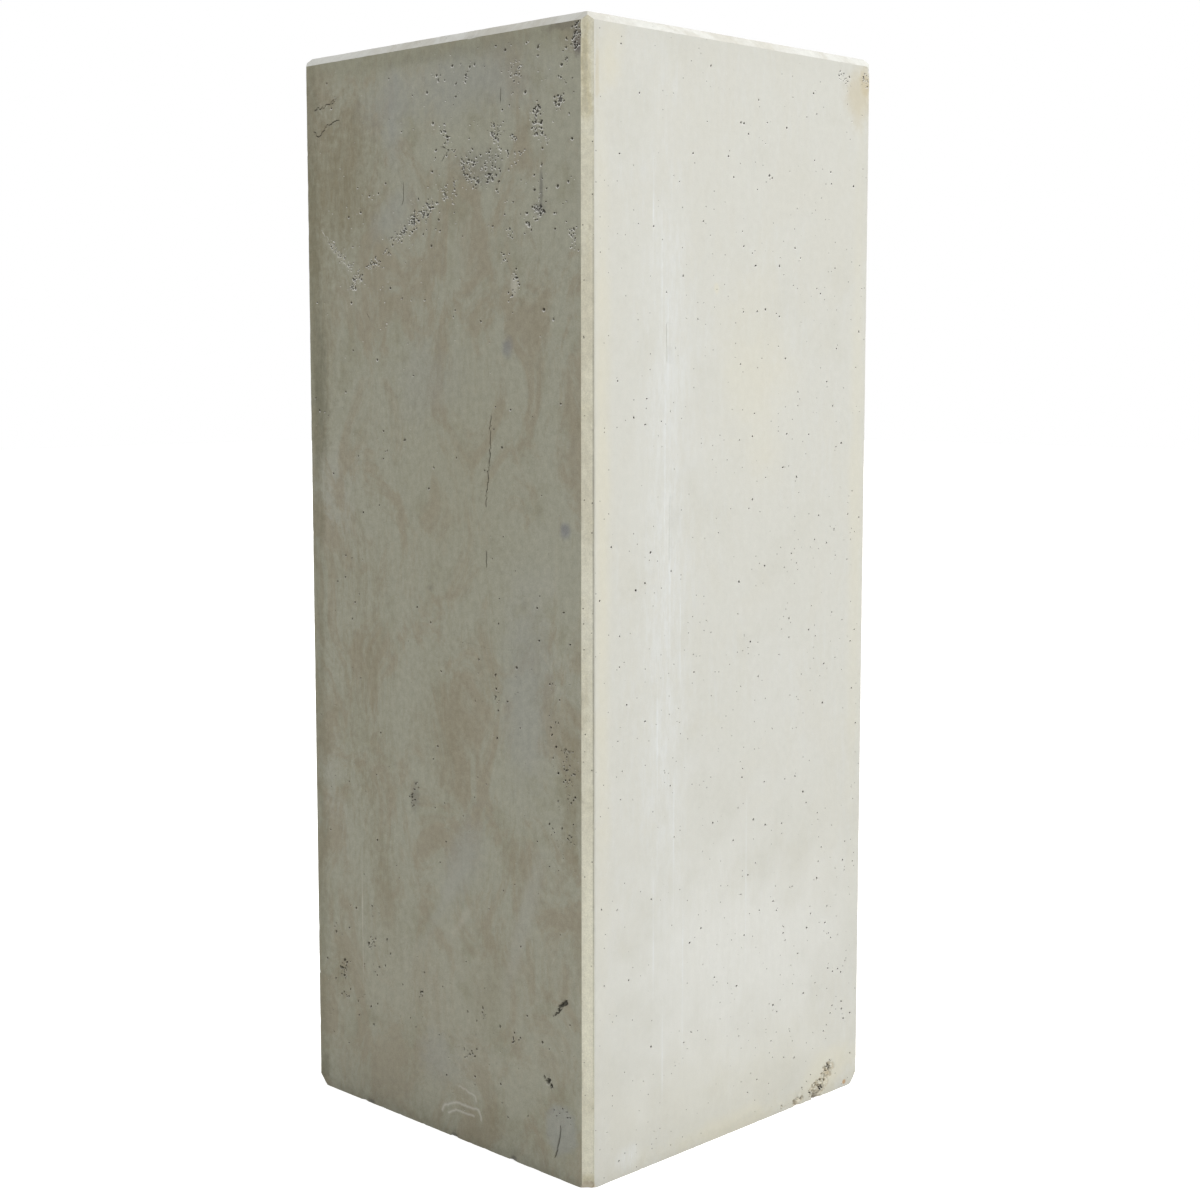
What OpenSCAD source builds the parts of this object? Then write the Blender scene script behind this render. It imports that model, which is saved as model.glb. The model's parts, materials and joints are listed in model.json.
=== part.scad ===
// Precast concrete barrier block: a tall, square block that stands on end.
// The vertical and top arrises are chamfered, and the base arris is left square.
// A tied cage of reinforcing bars and two threaded lifting sockets are cast into it.
// Millimetres, +Z up. The origin is at the centre of the underside.
// Front is -Y, right is +X, back is +Y and left is -X.

/* [Block] */
// Width of the block, left to right
block_w = 800; // [600:1:1200]
// Depth of the block, front to back
block_d = 800; // [600:1:1200]
// Height of the block as it stands
block_h = 2080; // [1500:1:3000]
// Leg of the chamfer along the vertical and top arrises
chamfer = 16; // [5:0.5:30]
// How far the cut across the foot of a corner runs past the chamfer
foot_clip = 20; // [5:1:40]

/* [Bars] */
// Concrete cover outside the links
side_cover = 50; // [35:1:75]
// Concrete cover at the ends of the long bars
end_cover = 50; // [35:1:75]
// Diameter of the four corner bars
corner_bar_d = 16; // [12:1:25]
// Diameter of the four bars at the middle of the faces
face_bar_d = 16; // [12:1:25]
// Clearance between a long bar and the link that it is tied to
bar_gap = 1; // [0.5:0.1:2]

/* [Links] */
// Number of closed links up the block
link_count = 8; // [4:1:12]
// Diameter of the link bar
link_d = 10; // [8:1:12]
// Inside radius of a link's bends
link_bend = 20; // [16:1:30]
// Height of the lowest link above the mortar blocks that the cage stands on
link_lift = 18; // [15:1:60]
// Length of the butt-weld upset that closes a link
weld_len = 8; // [4:1:15]
// How far the weld upset stands proud of the bar
weld_proud = 1.2; // [0.5:0.1:2]

/* [Tie wires] */
// Diameter of the soft tying wire
wire_d = 1.6; // [1.2:0.1:2.5]
// Clearance between a wire loop and the bars inside it
tie_gap = 1; // [0.5:0.1:2]
// Length of a tie's twisted tail
twist_len = 24; // [12:1:40]

/* [Spacers] */
// Depth of the concrete skin that hides the spacers
spacer_skin = 2; // [1:0.5:5]
// Every how many links carry spacer wheels
spacer_every = 3; // [2:1:4]
// Distance of a spacer wheel from the middle of its face
spacer_offset = 165; // [100:1:220]
// Thickness of a spacer wheel
wheel_t = 12; // [8:1:20]
// Thickness of a wheel's rim and of its hub wall
wheel_wall = 4; // [3:0.5:6]
// Number of spokes in a wheel
wheel_spokes = 6; // [4:1:8]
// Clearance between a moulded or cast spacer and its bar
spacer_fit = 0.4; // [0.2:0.1:1]
// Width of the mortar block that each corner bar stands on
seat_w = 50; // [40:1:70]
// Depth of the pocket in a mortar block that takes the end of the bar
seat_pocket = 10; // [5:1:15]

/* [Lifting sockets] */
// Distance between the two lifting sockets
socket_spacing = 400; // [200:1:440]
// Outside diameter of a socket
socket_d = 40; // [38:1:50]
// Solid metal above and below the cross hole in a socket's foot
socket_web = 16.5; // [12:0.5:25]
// Diameter of the tapped hole at the thread crests (M30)
thread_d = 26.2; // [20:0.1:30]
// Depth of the tapped hole
thread_depth = 70; // [50:1:90]
// Diameter of the recess at the socket's mouth
recess_d = 64; // [56:1:90]
// Depth of the recess below the top face
recess_depth = 10; // [5:1:20]
// How much wider the recess is at the top face, on the radius
recess_flare = 4; // [1:0.5:8]
// Diameter of the hairpin bar through the foot of a socket
tail_d = 16; // [12:1:20]
// Clearance between the hairpin bar and its cross hole
tail_fit = 0.5; // [0.3:0.1:1]
// Straight part of the hairpin that shows on each side of the socket
tail_show = 5; // [2:1:15]
// Centreline radius of the hairpin's bends
tail_bend = 40; // [32:1:60]
// Length of the hairpin's straight legs
tail_leg = 350; // [200:1:500]

/* [Hidden] */
$fn = 48;
CORNERS = ["front_left", "front_right", "back_right", "back_left"];
FACES = ["front", "right", "back", "left"];
SOCKETS = ["left", "right"];

overshoot = 10;             // how far a cutting shape runs past the face that it cuts
foot_clipped = [1, 2, 3];   // corners whose foot is cut across: all but the front left one
arris_side = chamfer * sqrt(2);
foot_leg = chamfer + foot_clip;

corner_r = corner_bar_d / 2;
face_r = face_bar_d / 2;
link_r = link_d / 2;
bend_r = link_bend + link_r;
wire_r = wire_d / 2;
tail_r = tail_d / 2;

// Half the distance between a link's legs, centre to centre, along X and along Y
link_half = [block_w / 2 - side_cover - link_r, block_d / 2 - side_cover - link_r];
seat_top = end_cover + seat_pocket;
lowest_link = seat_top + link_lift;
link_pitch = (block_h - 2 * lowest_link) / (link_count - 1);
function link_z(i) = lowest_link + i * link_pitch;

// A corner bar nests in the bend of the links
nest = (link_bend - corner_r - bar_gap) / sqrt(2);
corner_at = [link_half.x - bend_r + nest, link_half.y - bend_r + nest];
CORNER_SIGNS = [[-1, -1], [1, -1], [1, 1], [-1, 1]];
function corner_xy(i) = [CORNER_SIGNS[i].x * corner_at.x, CORNER_SIGNS[i].y * corner_at.y];
function corner_azimuth(i) = 225 + 90 * i;

// A face bar touches the links from inside, at the middle of its face
function face_azimuth(i) = 270 + 90 * i;
function face_leg(i) = i % 2 == 0 ? link_half.y : link_half.x;
function face_bar_out(i) = face_leg(i) - link_r - bar_gap - face_r;

wheel_r = side_cover + link_r - spacer_skin;
hub_r = link_r + spacer_fit + wheel_wall;

cross_r = tail_r + tail_fit;
cross_up = socket_web + cross_r;
socket_len = thread_depth + 2 * (socket_web + cross_r);
socket_top = block_h - recess_depth;
socket_foot = socket_top - socket_len;
cross_z = socket_foot + cross_up;
// Half the straight part of the hairpin that crosses the socket
tail_cross = socket_d / 2 + tail_show;

// ---- shared shapes ----

// A square prism on edge that cuts a chamfer along a straight arris
module arris_cut(length) {
    rotate([45, 0, 0])
        cube([length + 2 * overshoot, arris_side, arris_side], center = true);
}

// Everything on the far side of a plane that crosses the three edges of a bottom corner
module foot_cut(sx, sy) {
    plane_tilt = 180 - acos(1 / sqrt(3));
    reach = 4 * foot_leg;
    translate([sx * block_w / 2, sy * block_d / 2, 0])
        rotate([0, plane_tilt, atan2(sy, sx)])
            translate([0, 0, reach / 2 - foot_leg / sqrt(3)])
                cube(reach, center = true);
}

module long_bar(r) {
    translate([0, 0, end_cover])
        cylinder(r = r, h = block_h - 2 * end_cover);
}

// Quarter bend of a round bar, from along +X to along +Y, about the origin
module quarter_bend(radius, r) {
    rotate_extrude(angle = 90)
        translate([radius, 0])
            circle(r = r);
}

// ---- block ----

module block_outline() {
    difference() {
        translate([-block_w / 2, -block_d / 2, 0])
            cube([block_w, block_d, block_h]);
        for (s = CORNER_SIGNS)
            translate([s.x * block_w / 2, s.y * block_d / 2, block_h / 2])
                rotate([0, 90, 0])
                    arris_cut(block_h);
        for (s = [-1, 1]) {
            translate([0, s * block_d / 2, block_h])
                arris_cut(block_w);
            translate([s * block_w / 2, 0, block_h])
                rotate([0, 0, 90])
                    arris_cut(block_d);
        }
        for (i = foot_clipped)
            foot_cut(CORNER_SIGNS[i].x, CORNER_SIGNS[i].y);
    }
}

// The block, less the room taken by everything that is cast into it
module concrete_block() {
    color([0.82, 0.81, 0.76])
        difference() {
            block_outline();
            for (i = [0:3]) {
                corner_bar(i);
                face_bar(i);
                spacer_wheels(i, solid_hub = true);
                seat_space(i);
            }
            for (i = [0:link_count - 1]) {
                link(i);
                tie_wires(i);
            }
            for (i = [0:1]) {
                socket_space(i);
                tail_bar(i);
            }
        }
}

// ---- cage ----

module corner_bar(i) {
    color([0.42, 0.30, 0.24])
        translate(corner_xy(i))
            long_bar(corner_r);
}

module face_bar(i) {
    color([0.42, 0.30, 0.24])
        rotate(face_azimuth(i))
            translate([face_bar_out(i), 0, 0])
                long_bar(face_r);
}

// One closed link, level i counted from 0 at the bottom, with its butt weld in the front leg
module link(i) {
    straight = [2 * (link_half.x - bend_r), 2 * (link_half.y - bend_r)];
    color([0.38, 0.28, 0.23])
        translate([0, 0, link_z(i)]) {
            for (s = [-1, 1]) {
                translate([-straight.x / 2, s * link_half.y, 0])
                    rotate([0, 90, 0])
                        cylinder(r = link_r, h = straight.x);
                translate([s * link_half.x, straight.y / 2, 0])
                    rotate([90, 0, 0])
                        cylinder(r = link_r, h = straight.y);
            }
            for (k = [0:3])
                translate([
                    CORNER_SIGNS[k].x * (link_half.x - bend_r),
                    CORNER_SIGNS[k].y * (link_half.y - bend_r),
                    0
                ])
                    rotate(180 + 90 * k)
                        quarter_bend(bend_r, link_r);
            translate([straight.x / 8, -link_half.y, 0])
                rotate([0, 90, 0])
                    cylinder(r = link_r + weld_proud, h = weld_len, center = true);
        }
}

// A loop of wire round a long bar and a link, at 45 degrees to both. Local +X points outwards
// from the middle of the long bar, whose radius is bar_r, towards the link.
module wire_tie(bar_r) {
    to_bar = link_r + bar_gap / 2;
    half_reach = bar_r + to_bar;
    loop_r = max(half_reach, sqrt(2) * norm([to_bar, bar_r])) + tie_gap + wire_r;
    translate([to_bar, 0, 0])
        rotate([45, 0, 0]) {
            rotate_extrude()
                translate([loop_r, 0])
                    circle(r = wire_r);
            translate([-loop_r, 0, 0])
                rotate([0, -90, 0])
                    cylinder(r = 1.8 * wire_r, h = twist_len);
        }
}

// Ties at the corners of every link, and at the face bars of every second one
module tie_wires(i) {
    color([0.25, 0.24, 0.23])
        translate([0, 0, link_z(i)])
            for (k = [0:3]) {
                translate(corner_xy(k))
                    rotate(corner_azimuth(k))
                        wire_tie(corner_r);
                if (i % 2 == 0)
                    rotate(face_azimuth(k))
                        translate([face_bar_out(k), 0, 0])
                            wire_tie(face_r);
            }
}

// ---- spacers ----

// A spoked wheel about the X axis
module spacer_wheel(solid_hub) {
    window_in = hub_r;
    window_out = wheel_r - wheel_wall;
    rotate([0, 90, 0])
        linear_extrude(wheel_t, center = true)
            difference() {
                circle(r = wheel_r);
                difference() {
                    circle(r = window_out);
                    circle(r = window_in);
                    for (k = [0:wheel_spokes - 1])
                        rotate(k * 360 / wheel_spokes)
                            translate([0, -wheel_wall / 2])
                                square([wheel_r, wheel_wall]);
                }
                if (!solid_hub)
                    circle(r = link_r + spacer_fit);
            }
}

// The wheels of one face, two to a link
module spacer_wheels(i, solid_hub = false) {
    color([0.20, 0.21, 0.22])
        for (level = [1:spacer_every:link_count - 1])
            for (s = [-1, 1])
                rotate(face_azimuth(i))
                    translate([face_leg(i), s * spacer_offset, link_z(level)])
                        rotate(90)
                            spacer_wheel(solid_hub);
}

module seat_space(i) {
    translate(corner_xy(i))
        translate([-seat_w / 2, -seat_w / 2, spacer_skin])
            cube([seat_w, seat_w, seat_top - spacer_skin]);
}

module seat_block(i) {
    color([0.62, 0.61, 0.58])
        difference() {
            seat_space(i);
            translate(corner_xy(i))
                translate([0, 0, end_cover])
                    cylinder(r = corner_r + spacer_fit, h = seat_pocket + overshoot);
        }
}

// ---- lifting sockets ----

function socket_x(i) = (i == 0 ? -1 : 1) * socket_spacing / 2;

// The socket's outside and the flared recess over its mouth
module socket_space(i) {
    translate([socket_x(i), 0, socket_foot])
        cylinder(d = socket_d, h = socket_len + recess_depth / 2);
    slope = recess_flare / recess_depth;
    translate([socket_x(i), 0, socket_top])
        cylinder(
            r1 = recess_d / 2,
            r2 = recess_d / 2 + slope * (recess_depth + overshoot),
            h = recess_depth + overshoot
        );
}

module lifting_socket(i) {
    color([0.72, 0.72, 0.70])
        translate([socket_x(i), 0, socket_foot])
            difference() {
                cylinder(d = socket_d, h = socket_len);
                translate([0, 0, socket_len - thread_depth])
                    cylinder(d = thread_d, h = thread_depth + overshoot);
                translate([0, 0, cross_up])
                    rotate([90, 0, 0])
                        cylinder(r = cross_r, h = socket_d + overshoot, center = true);
            }
}

// A hairpin bar that hangs through the foot of a socket and spreads the pull into the block
module tail_bar(i) {
    color([0.42, 0.30, 0.24])
        translate([socket_x(i), 0, cross_z]) {
            rotate([90, 0, 0])
                cylinder(r = tail_r, h = 2 * tail_cross, center = true);
            for (side = [0, 180])
                rotate(side)
                    translate([0, tail_cross, -tail_bend]) {
                        rotate([90, 0, 90])
                            quarter_bend(tail_bend, tail_r);
                        translate([0, tail_bend, -tail_leg])
                            cylinder(r = tail_r, h = tail_leg);
                    }
        }
}

// ---- what is drawn ----

concrete_block();
for (i = [0:3]) {
    corner_bar(i);
    face_bar(i);
    spacer_wheels(i);
    seat_block(i);
}
for (i = [0:link_count - 1]) {
    link(i);
    tie_wires(i);
}
for (i = [0:1]) {
    lifting_socket(i);
    tail_bar(i);
}
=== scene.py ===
"""A tall square precast concrete barrier block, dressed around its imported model.

The concrete is one skin of flat walls, chamfers, foot cuts and recesses. Air
holes, stone pockets, cracks and broken arrises are cut into that skin, and the
weathering is painted by shader maths. The steel, wire, plastic and mortar cast
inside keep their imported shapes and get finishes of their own.

Lengths are in metres and tones are linear.
"""

import json
import logging
import math
from collections.abc import Iterable, Iterator, Sequence
from dataclasses import dataclass, field
from enum import Enum

import bpy
import numpy as np
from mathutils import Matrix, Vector
from mathutils.geometry import delaunay_2d_cdt


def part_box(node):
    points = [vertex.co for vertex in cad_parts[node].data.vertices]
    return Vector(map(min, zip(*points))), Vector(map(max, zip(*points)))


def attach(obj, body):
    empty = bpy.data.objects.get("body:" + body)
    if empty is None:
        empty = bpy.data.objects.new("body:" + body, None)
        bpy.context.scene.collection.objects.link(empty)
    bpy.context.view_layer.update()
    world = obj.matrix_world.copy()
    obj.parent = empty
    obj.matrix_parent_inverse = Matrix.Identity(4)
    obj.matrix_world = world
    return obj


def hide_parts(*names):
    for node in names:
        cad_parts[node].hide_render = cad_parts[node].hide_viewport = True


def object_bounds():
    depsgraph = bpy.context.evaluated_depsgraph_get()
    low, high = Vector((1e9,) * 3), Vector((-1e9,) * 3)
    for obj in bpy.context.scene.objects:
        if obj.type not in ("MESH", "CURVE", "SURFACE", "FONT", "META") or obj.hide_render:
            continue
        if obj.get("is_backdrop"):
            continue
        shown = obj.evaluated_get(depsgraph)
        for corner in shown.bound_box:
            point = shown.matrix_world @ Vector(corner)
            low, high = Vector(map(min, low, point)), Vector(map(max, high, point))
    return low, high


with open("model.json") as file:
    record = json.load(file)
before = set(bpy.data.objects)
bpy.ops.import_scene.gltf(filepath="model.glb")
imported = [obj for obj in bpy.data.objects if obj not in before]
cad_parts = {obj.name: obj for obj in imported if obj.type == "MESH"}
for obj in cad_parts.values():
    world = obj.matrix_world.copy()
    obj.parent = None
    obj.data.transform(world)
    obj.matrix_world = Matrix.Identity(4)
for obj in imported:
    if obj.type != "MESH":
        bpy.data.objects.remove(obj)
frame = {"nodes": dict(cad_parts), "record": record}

LOG = logging.getLogger("barrier_block")

BODY = "root"
BLOCK_NODE = "concrete_block"
SOCKET_NODES = ("lifting_socket_left", "lifting_socket_right")

MM = 0.001

Colour = tuple[float, float, float]
Point2 = tuple[float, float]
Point3 = tuple[float, float, float]
Looks = dict[int, Point3]


# --------------------------------------------------------------------------
# Shader maths
# --------------------------------------------------------------------------


class Signal:
    """One output of a shader node, which takes part in arithmetic."""

    def __init__(self, bench: "Bench", socket: bpy.types.NodeSocket) -> None:
        """Keeps the bench that adds nodes and the socket that is wrapped."""
        self.bench = bench
        self.socket = socket

    def __add__(self, other: "Signal | float") -> "Signal":
        """The sum of this signal and another value."""
        return self.bench.sum("ADD", self, other)

    def __radd__(self, other: float) -> "Signal":
        """The same sum with the number written first."""
        return self.bench.sum("ADD", self, other)

    def __sub__(self, other: "Signal | float") -> "Signal":
        """This signal less another value."""
        return self.bench.sum("SUBTRACT", self, other)

    def __rsub__(self, other: float) -> "Signal":
        """A number less this signal."""
        return self.bench.sum("SUBTRACT", other, self)

    def __mul__(self, other: "Signal | float") -> "Signal":
        """The product of this signal and another value."""
        return self.bench.sum("MULTIPLY", self, other)

    def __rmul__(self, other: float) -> "Signal":
        """The same product with the number written first."""
        return self.bench.sum("MULTIPLY", self, other)


class Bench:
    """A node tree, with short ways to add what the finishes need."""

    def __init__(self, tree: bpy.types.NodeTree) -> None:
        """Keeps the tree that the nodes go into."""
        self.tree = tree

    def node(
        self,
        kind: str,
        settings: dict[str, object] | None = None,
        inputs: dict[str, object] | None = None,
    ) -> bpy.types.Node:
        """Adds one node.

        Args:
            kind: the node's type.
            settings: its properties, which are set first.
            inputs: values or signals by socket name or identifier.

        Returns:
            The new node.
        """
        made = self.tree.nodes.new(kind)
        for key, value in (settings or {}).items():
            setattr(made, key, value)
        for key, value in (inputs or {}).items():
            self.plug(made, key, value)
        return made

    def plug(self, node: bpy.types.Node, key: str, value: object) -> None:
        """Links a signal to a node's socket, or sets the socket's own value.

        Args:
            node: the node that takes it.
            key: the socket's identifier or name.
            value: a signal, a number or a colour.
        """
        named = [s for s in node.inputs if s.identifier == key]
        socket = named[0] if named else node.inputs[key]
        if isinstance(value, Signal):
            self.tree.links.new(value.socket, socket)
        elif socket.type == "RGBA":
            socket.default_value = (*value, 1.0)
        else:
            socket.default_value = value

    def signal(
        self,
        kind: str,
        output: str,
        settings: dict[str, object] | None = None,
        inputs: dict[str, object] | None = None,
    ) -> Signal:
        """Adds one node and returns one of its outputs.

        Args:
            kind: the node's type.
            output: the output's identifier or name.
            settings: its properties, which are set first.
            inputs: values or signals by socket name or identifier.

        Returns:
            The output as a signal.
        """
        made = self.node(kind, settings, inputs)
        named = [s for s in made.outputs if s.identifier == output]
        return Signal(self, named[0] if named else made.outputs[output])

    def sum(self, operation: str, a: Signal | float, b: Signal | float) -> Signal:
        """A Math node on two values."""
        return self.signal(
            "ShaderNodeMath", "Value", {"operation": operation}, {"Value": a, "Value_001": b}
        )

    def dot(self, place: Signal, way: Point3) -> Signal:
        """How far a place lies along a direction.

        Args:
            place: the place.
            way: the direction.

        Returns:
            The distance along it.
        """
        return self.signal(
            "ShaderNodeVectorMath",
            "Value",
            {"operation": "DOT_PRODUCT"},
            {"Vector": place, "Vector_001": way},
        )

    def smooth(
        self, value: Signal, start: float, end: float, low: float = 0.0, high: float = 1.0
    ) -> Signal:
        """A smooth climb from low at start to high at end.

        Args:
            value: what it follows.
            start: where it starts.
            end: where it ends.
            low: the result up to the start.
            high: the result from the end on.

        Returns:
            The result.
        """
        ends = {"From Min": start, "From Max": end, "To Min": low, "To Max": high}
        settings = {"interpolation_type": "SMOOTHSTEP"}
        return self.signal("ShaderNodeMapRange", "Result", settings, {"Value": value, **ends})

    def blend(
        self,
        share: Signal | float,
        low: Signal | Colour,
        high: Signal | Colour,
        mode: str = "MIX",
    ) -> Signal:
        """Mixes two colours.

        Args:
            share: 0 gives low and 1 gives high.
            low: the first colour.
            high: the second colour.
            mode: the way they are mixed.

        Returns:
            The mixed colour.
        """
        return self.signal(
            "ShaderNodeMix",
            "Result_Color",
            {"data_type": "RGBA", "blend_type": mode, "clamp_factor": True},
            {"Factor_Float": share, "A_Color": low, "B_Color": high},
        )

    def shade(self, colour: Signal, light: Signal) -> Signal:
        """The colour made lighter or darker by a number."""
        grey = {"Red": light, "Green": light, "Blue": light}
        even = self.signal("ShaderNodeCombineColor", "Color", None, grey)
        return self.blend(1.0, colour, even, "MULTIPLY")

    def noise(
        self,
        place: Signal,
        scale: float,
        detail: float = 4.0,
        rough: float = 0.55,
        twist: float = 0.0,
    ) -> Signal:
        """Cloudy noise from 0 to 1, with a middle of 0.5.

        Args:
            place: where it is read.
            scale: how fine it is.
            detail: how many finer layers it has.
            rough: how strong each finer layer is.
            twist: how far it is pulled about.

        Returns:
            The noise.
        """
        values = {"Vector": place, "Scale": scale, "Detail": detail}
        values |= {"Roughness": rough, "Distortion": twist}
        return self.signal("ShaderNodeTexNoise", "Fac", None, values)

    def cells(self, place: Signal, scale: float, channel: str) -> tuple[Signal, Signal]:
        """Cells strewn through space.

        Args:
            place: where they are read.
            scale: how many there are to the metre.
            channel: the part of each cell's own colour that is its number.

        Returns:
            The distance from a cell's middle, and the cell's number from 0 to 1.
        """
        settings = {"voronoi_dimensions": "3D", "feature": "F1"}
        made = self.node("ShaderNodeTexVoronoi", settings, {"Vector": place, "Scale": scale})
        own = {"Color": Signal(self, made.outputs["Color"])}
        number = self.signal("ShaderNodeSeparateColor", channel, None, own)
        return Signal(self, made.outputs["Distance"]), number

    def stretch(self, place: Signal, scale: Point3, shift: Point3) -> Signal:
        """The place scaled and shifted, so that noise runs longer one way.

        Args:
            place: where it is read.
            scale: its scale each way.
            shift: its shift each way.

        Returns:
            The new place.
        """
        return self.signal(
            "ShaderNodeMapping",
            "Vector",
            {"vector_type": "POINT"},
            {"Vector": place, "Scale": scale, "Location": shift},
        )

    def made_by_mesh(self, name: str) -> Signal:
        """A value that the mesh carries at its points."""
        return self.signal("ShaderNodeAttribute", "Fac", {"attribute_name": name})

    def bump(self, height: Signal, distance: float) -> Signal:
        """A surface normal from a height of 0 to 1 that spans the distance."""
        values = {"Height": height, "Distance": distance, "Strength": 1.0}
        return self.signal("ShaderNodeBump", "Normal", None, values)


class Surface(Bench):
    """A new material's node tree, which ends in one Principled surface."""

    def __init__(self, name: str) -> None:
        """Starts the material under its name."""
        self.material = bpy.data.materials.new(name)
        self.material.use_nodes = True
        super().__init__(self.material.node_tree)
        self.shader = self.tree.nodes["Principled BSDF"]

    def finish(
        self, colour: Signal, rough: Signal, normal: Signal, **steady: float
    ) -> bpy.types.Material:
        """Joins the results to the surface.

        Args:
            colour: the base colour.
            rough: the roughness.
            normal: the surface normal.
            **steady: sockets that are the same all over, spaces as underscores.

        Returns:
            The finished material.
        """
        values = {"Base_Color": colour, "Roughness": rough, "Normal": normal, **steady}
        for key, value in values.items():
            self.plug(self.shader, key.replace("_", " "), value)
        return self.material


# --------------------------------------------------------------------------
# Marks in the concrete's skin
# --------------------------------------------------------------------------


def turned(points: np.ndarray, degrees: float) -> np.ndarray:
    """Points in the plane, turned about the origin."""
    a = math.radians(degrees)
    turn = np.array([[math.cos(a), math.sin(a)], [-math.sin(a), math.cos(a)]])
    return points @ turn


def jitter_grid(half_u: float, half_v: float, pitch: float, rng: np.random.Generator) -> np.ndarray:
    """A loose grid of points over a rectangle about the origin.

    Args:
        half_u: half of its width.
        half_v: half of its height.
        pitch: the points' mean distance.
        rng: the source of the looseness.

    Returns:
        The points, one row each.
    """
    u = np.arange(-half_u, half_u + pitch, pitch)
    v = np.arange(-half_v, half_v + pitch, pitch)
    grid = np.stack(np.meshgrid(u, v), -1).reshape(-1, 2)
    return grid + rng.uniform(-0.3, 0.3, grid.shape) * pitch


@dataclass
class Hollows:
    """Air holes in one wall, each an oval dish.

    Args:
        centres: their middles, across and up the wall.
        radii: half of each one's length.
        depths: their depths.
        squash: each one's width as a share of its length.
        turns: their turns in the wall, in degrees.
        highlight_and_smear_weight: how strong the painted highlight on each one's lower lip is,
            from 0 to 1.
        lip: how far that painted highlight reaches past the rim.
        big: the radius from which a hole gets a rounder rim.
        inner: where the inner ring of points lies, as a share of the radius.
    """

    centres: np.ndarray
    radii: np.ndarray
    depths: np.ndarray
    squash: np.ndarray
    turns: np.ndarray
    highlight_and_smear_weight: np.ndarray
    lip: float = 1.5 * MM
    big: float = 1.7 * MM
    inner: float = 0.62

    def local(self, points: np.ndarray, k: int) -> np.ndarray:
        """Points about hole k, scaled so that its rim is the unit circle."""
        flat = turned(points - self.centres[k], -self.turns[k])
        return flat / (self.radii[k] * np.array([1.0, self.squash[k]]))

    def lip_end(self, k: int) -> float:
        """How far out hole k's lip goes, as a share of its radius."""
        return 1.4 + self.lip / self.radii[k]

    def points(self) -> np.ndarray:
        """The lip's end, the rim, an inner ring and the centre of every hole.

        Returns:
            The points, across and up the wall.
        """
        made = []
        for k, centre in enumerate(self.centres):
            rim, ring = (8, 5) if self.radii[k] > self.big else (6, 3)
            rings = (
                (self.lip_end(k), 6, 0.2),
                (1.0, rim, 0.0),
                (self.inner, ring, 0.4),
                (0.0, 1, 0.0),
            )
            for reach, count, start in rings:
                a = np.arange(count) * math.tau / count + start
                hoop = reach * np.stack([np.cos(a), np.sin(a)], -1) * self.radii[k]
                hoop[:, 1] *= self.squash[k]
                made.append(turned(hoop, self.turns[k]) + centre)
        return np.concatenate(made) if made else np.zeros((0, 2))

    def near(self, points: np.ndarray, beyond: float) -> Iterator[tuple[int, np.ndarray]]:
        """Goes through the holes and finds the points near each.

        Args:
            points: across and up the wall.
            beyond: how far past the rim to look.

        Yields:
            The hole's number and the rows of the points near it.
        """
        order = np.argsort(points[:, 1])
        heights = points[order, 1]
        for k, (u, v) in enumerate(self.centres):
            reach = self.radii[k] + beyond
            first, last = np.searchsorted(heights, (v - reach, v + reach))
            rows = order[first:last]
            rows = rows[np.abs(points[rows, 0] - u) < reach]
            if len(rows):
                yield k, rows

    def depth_at(self, points: np.ndarray) -> np.ndarray:
        """How far below the wall the surface lies at each point.

        Args:
            points: across and up the wall.

        Returns:
            One depth for each.
        """
        depth = np.zeros(len(points))
        for k, rows in self.near(points, 0.05 * MM):
            reach = (self.local(points[rows], k) ** 2).sum(1)
            dish = self.depths[k] * np.sqrt(np.clip(1 - reach, 0, 1))
            depth[rows] = np.maximum(depth[rows], dish)
        return depth

    def lip_highlight_at(self, points: np.ndarray) -> np.ndarray:
        """How much painted highlight lies at each point, on the lower lips, as if lit from above.

        Args:
            points: across and up the wall.

        Returns:
            One share for each, from 0 to 1.
        """
        highlight_and_smear = np.zeros(len(points))
        for k, rows in self.near(points, self.lip + 3 * MM):
            end = self.lip_end(k)
            reach = np.linalg.norm(self.local(points[rows], k), axis=1)
            # Painted highlight: the lower side of each lip is made paler, where light from above
            # would fall.
            below = (self.centres[k][1] - points[rows, 1]) / self.radii[k]
            own = np.clip((end - reach) / (end - 1.1), 0, 1) * (reach > 0.9)
            own *= np.clip(0.25 + 1.2 * below, 0, 1) * self.highlight_and_smear_weight[k]
            highlight_and_smear[rows] = np.maximum(highlight_and_smear[rows], own)
        return highlight_and_smear


def own_chance(u: float, v: float) -> np.random.Generator:
    """A source of chance that a mark's place sets."""
    return np.random.default_rng(int(abs(u) * 9999 + v * 99991))


@dataclass(frozen=True)
class PitSwarm:
    """A gathering of small ragged pits, where the paste was starved.

    Args:
        u: the middle across the wall.
        v: the middle up the wall.
        half_u: half of its length.
        half_v: half of its width.
        angle: the length's direction, in degrees.
        count: how many pits.
        largest: the largest radius.
    """

    u: float
    v: float
    half_u: float
    half_v: float
    angle: float
    count: int
    largest: float = 3.0 * MM

    def rows(self) -> np.ndarray:
        """Gathers the pits into clumps.

        Returns:
            Rows of place across, place up and radius.
        """
        rng = own_chance(self.u, self.v)
        clumps = max(2, self.count // 7)
        turn = rng.uniform(0, math.tau, clumps)
        reach = np.sqrt(rng.uniform(0, 0.8, clumps))
        hearts = np.stack([np.cos(turn), np.sin(turn)], -1) * reach[:, None]
        hearts *= (self.half_u, self.half_v)
        flat = hearts[rng.integers(0, clumps, self.count)]
        flat = flat + rng.normal(0, 5.5 * MM, flat.shape)
        place = turned(flat, self.angle) + (self.u, self.v)
        size = 1.1 * MM + (self.largest - 0.9 * MM) * rng.uniform(0, 1, self.count) ** 1.6
        return np.column_stack([place, size])


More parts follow.
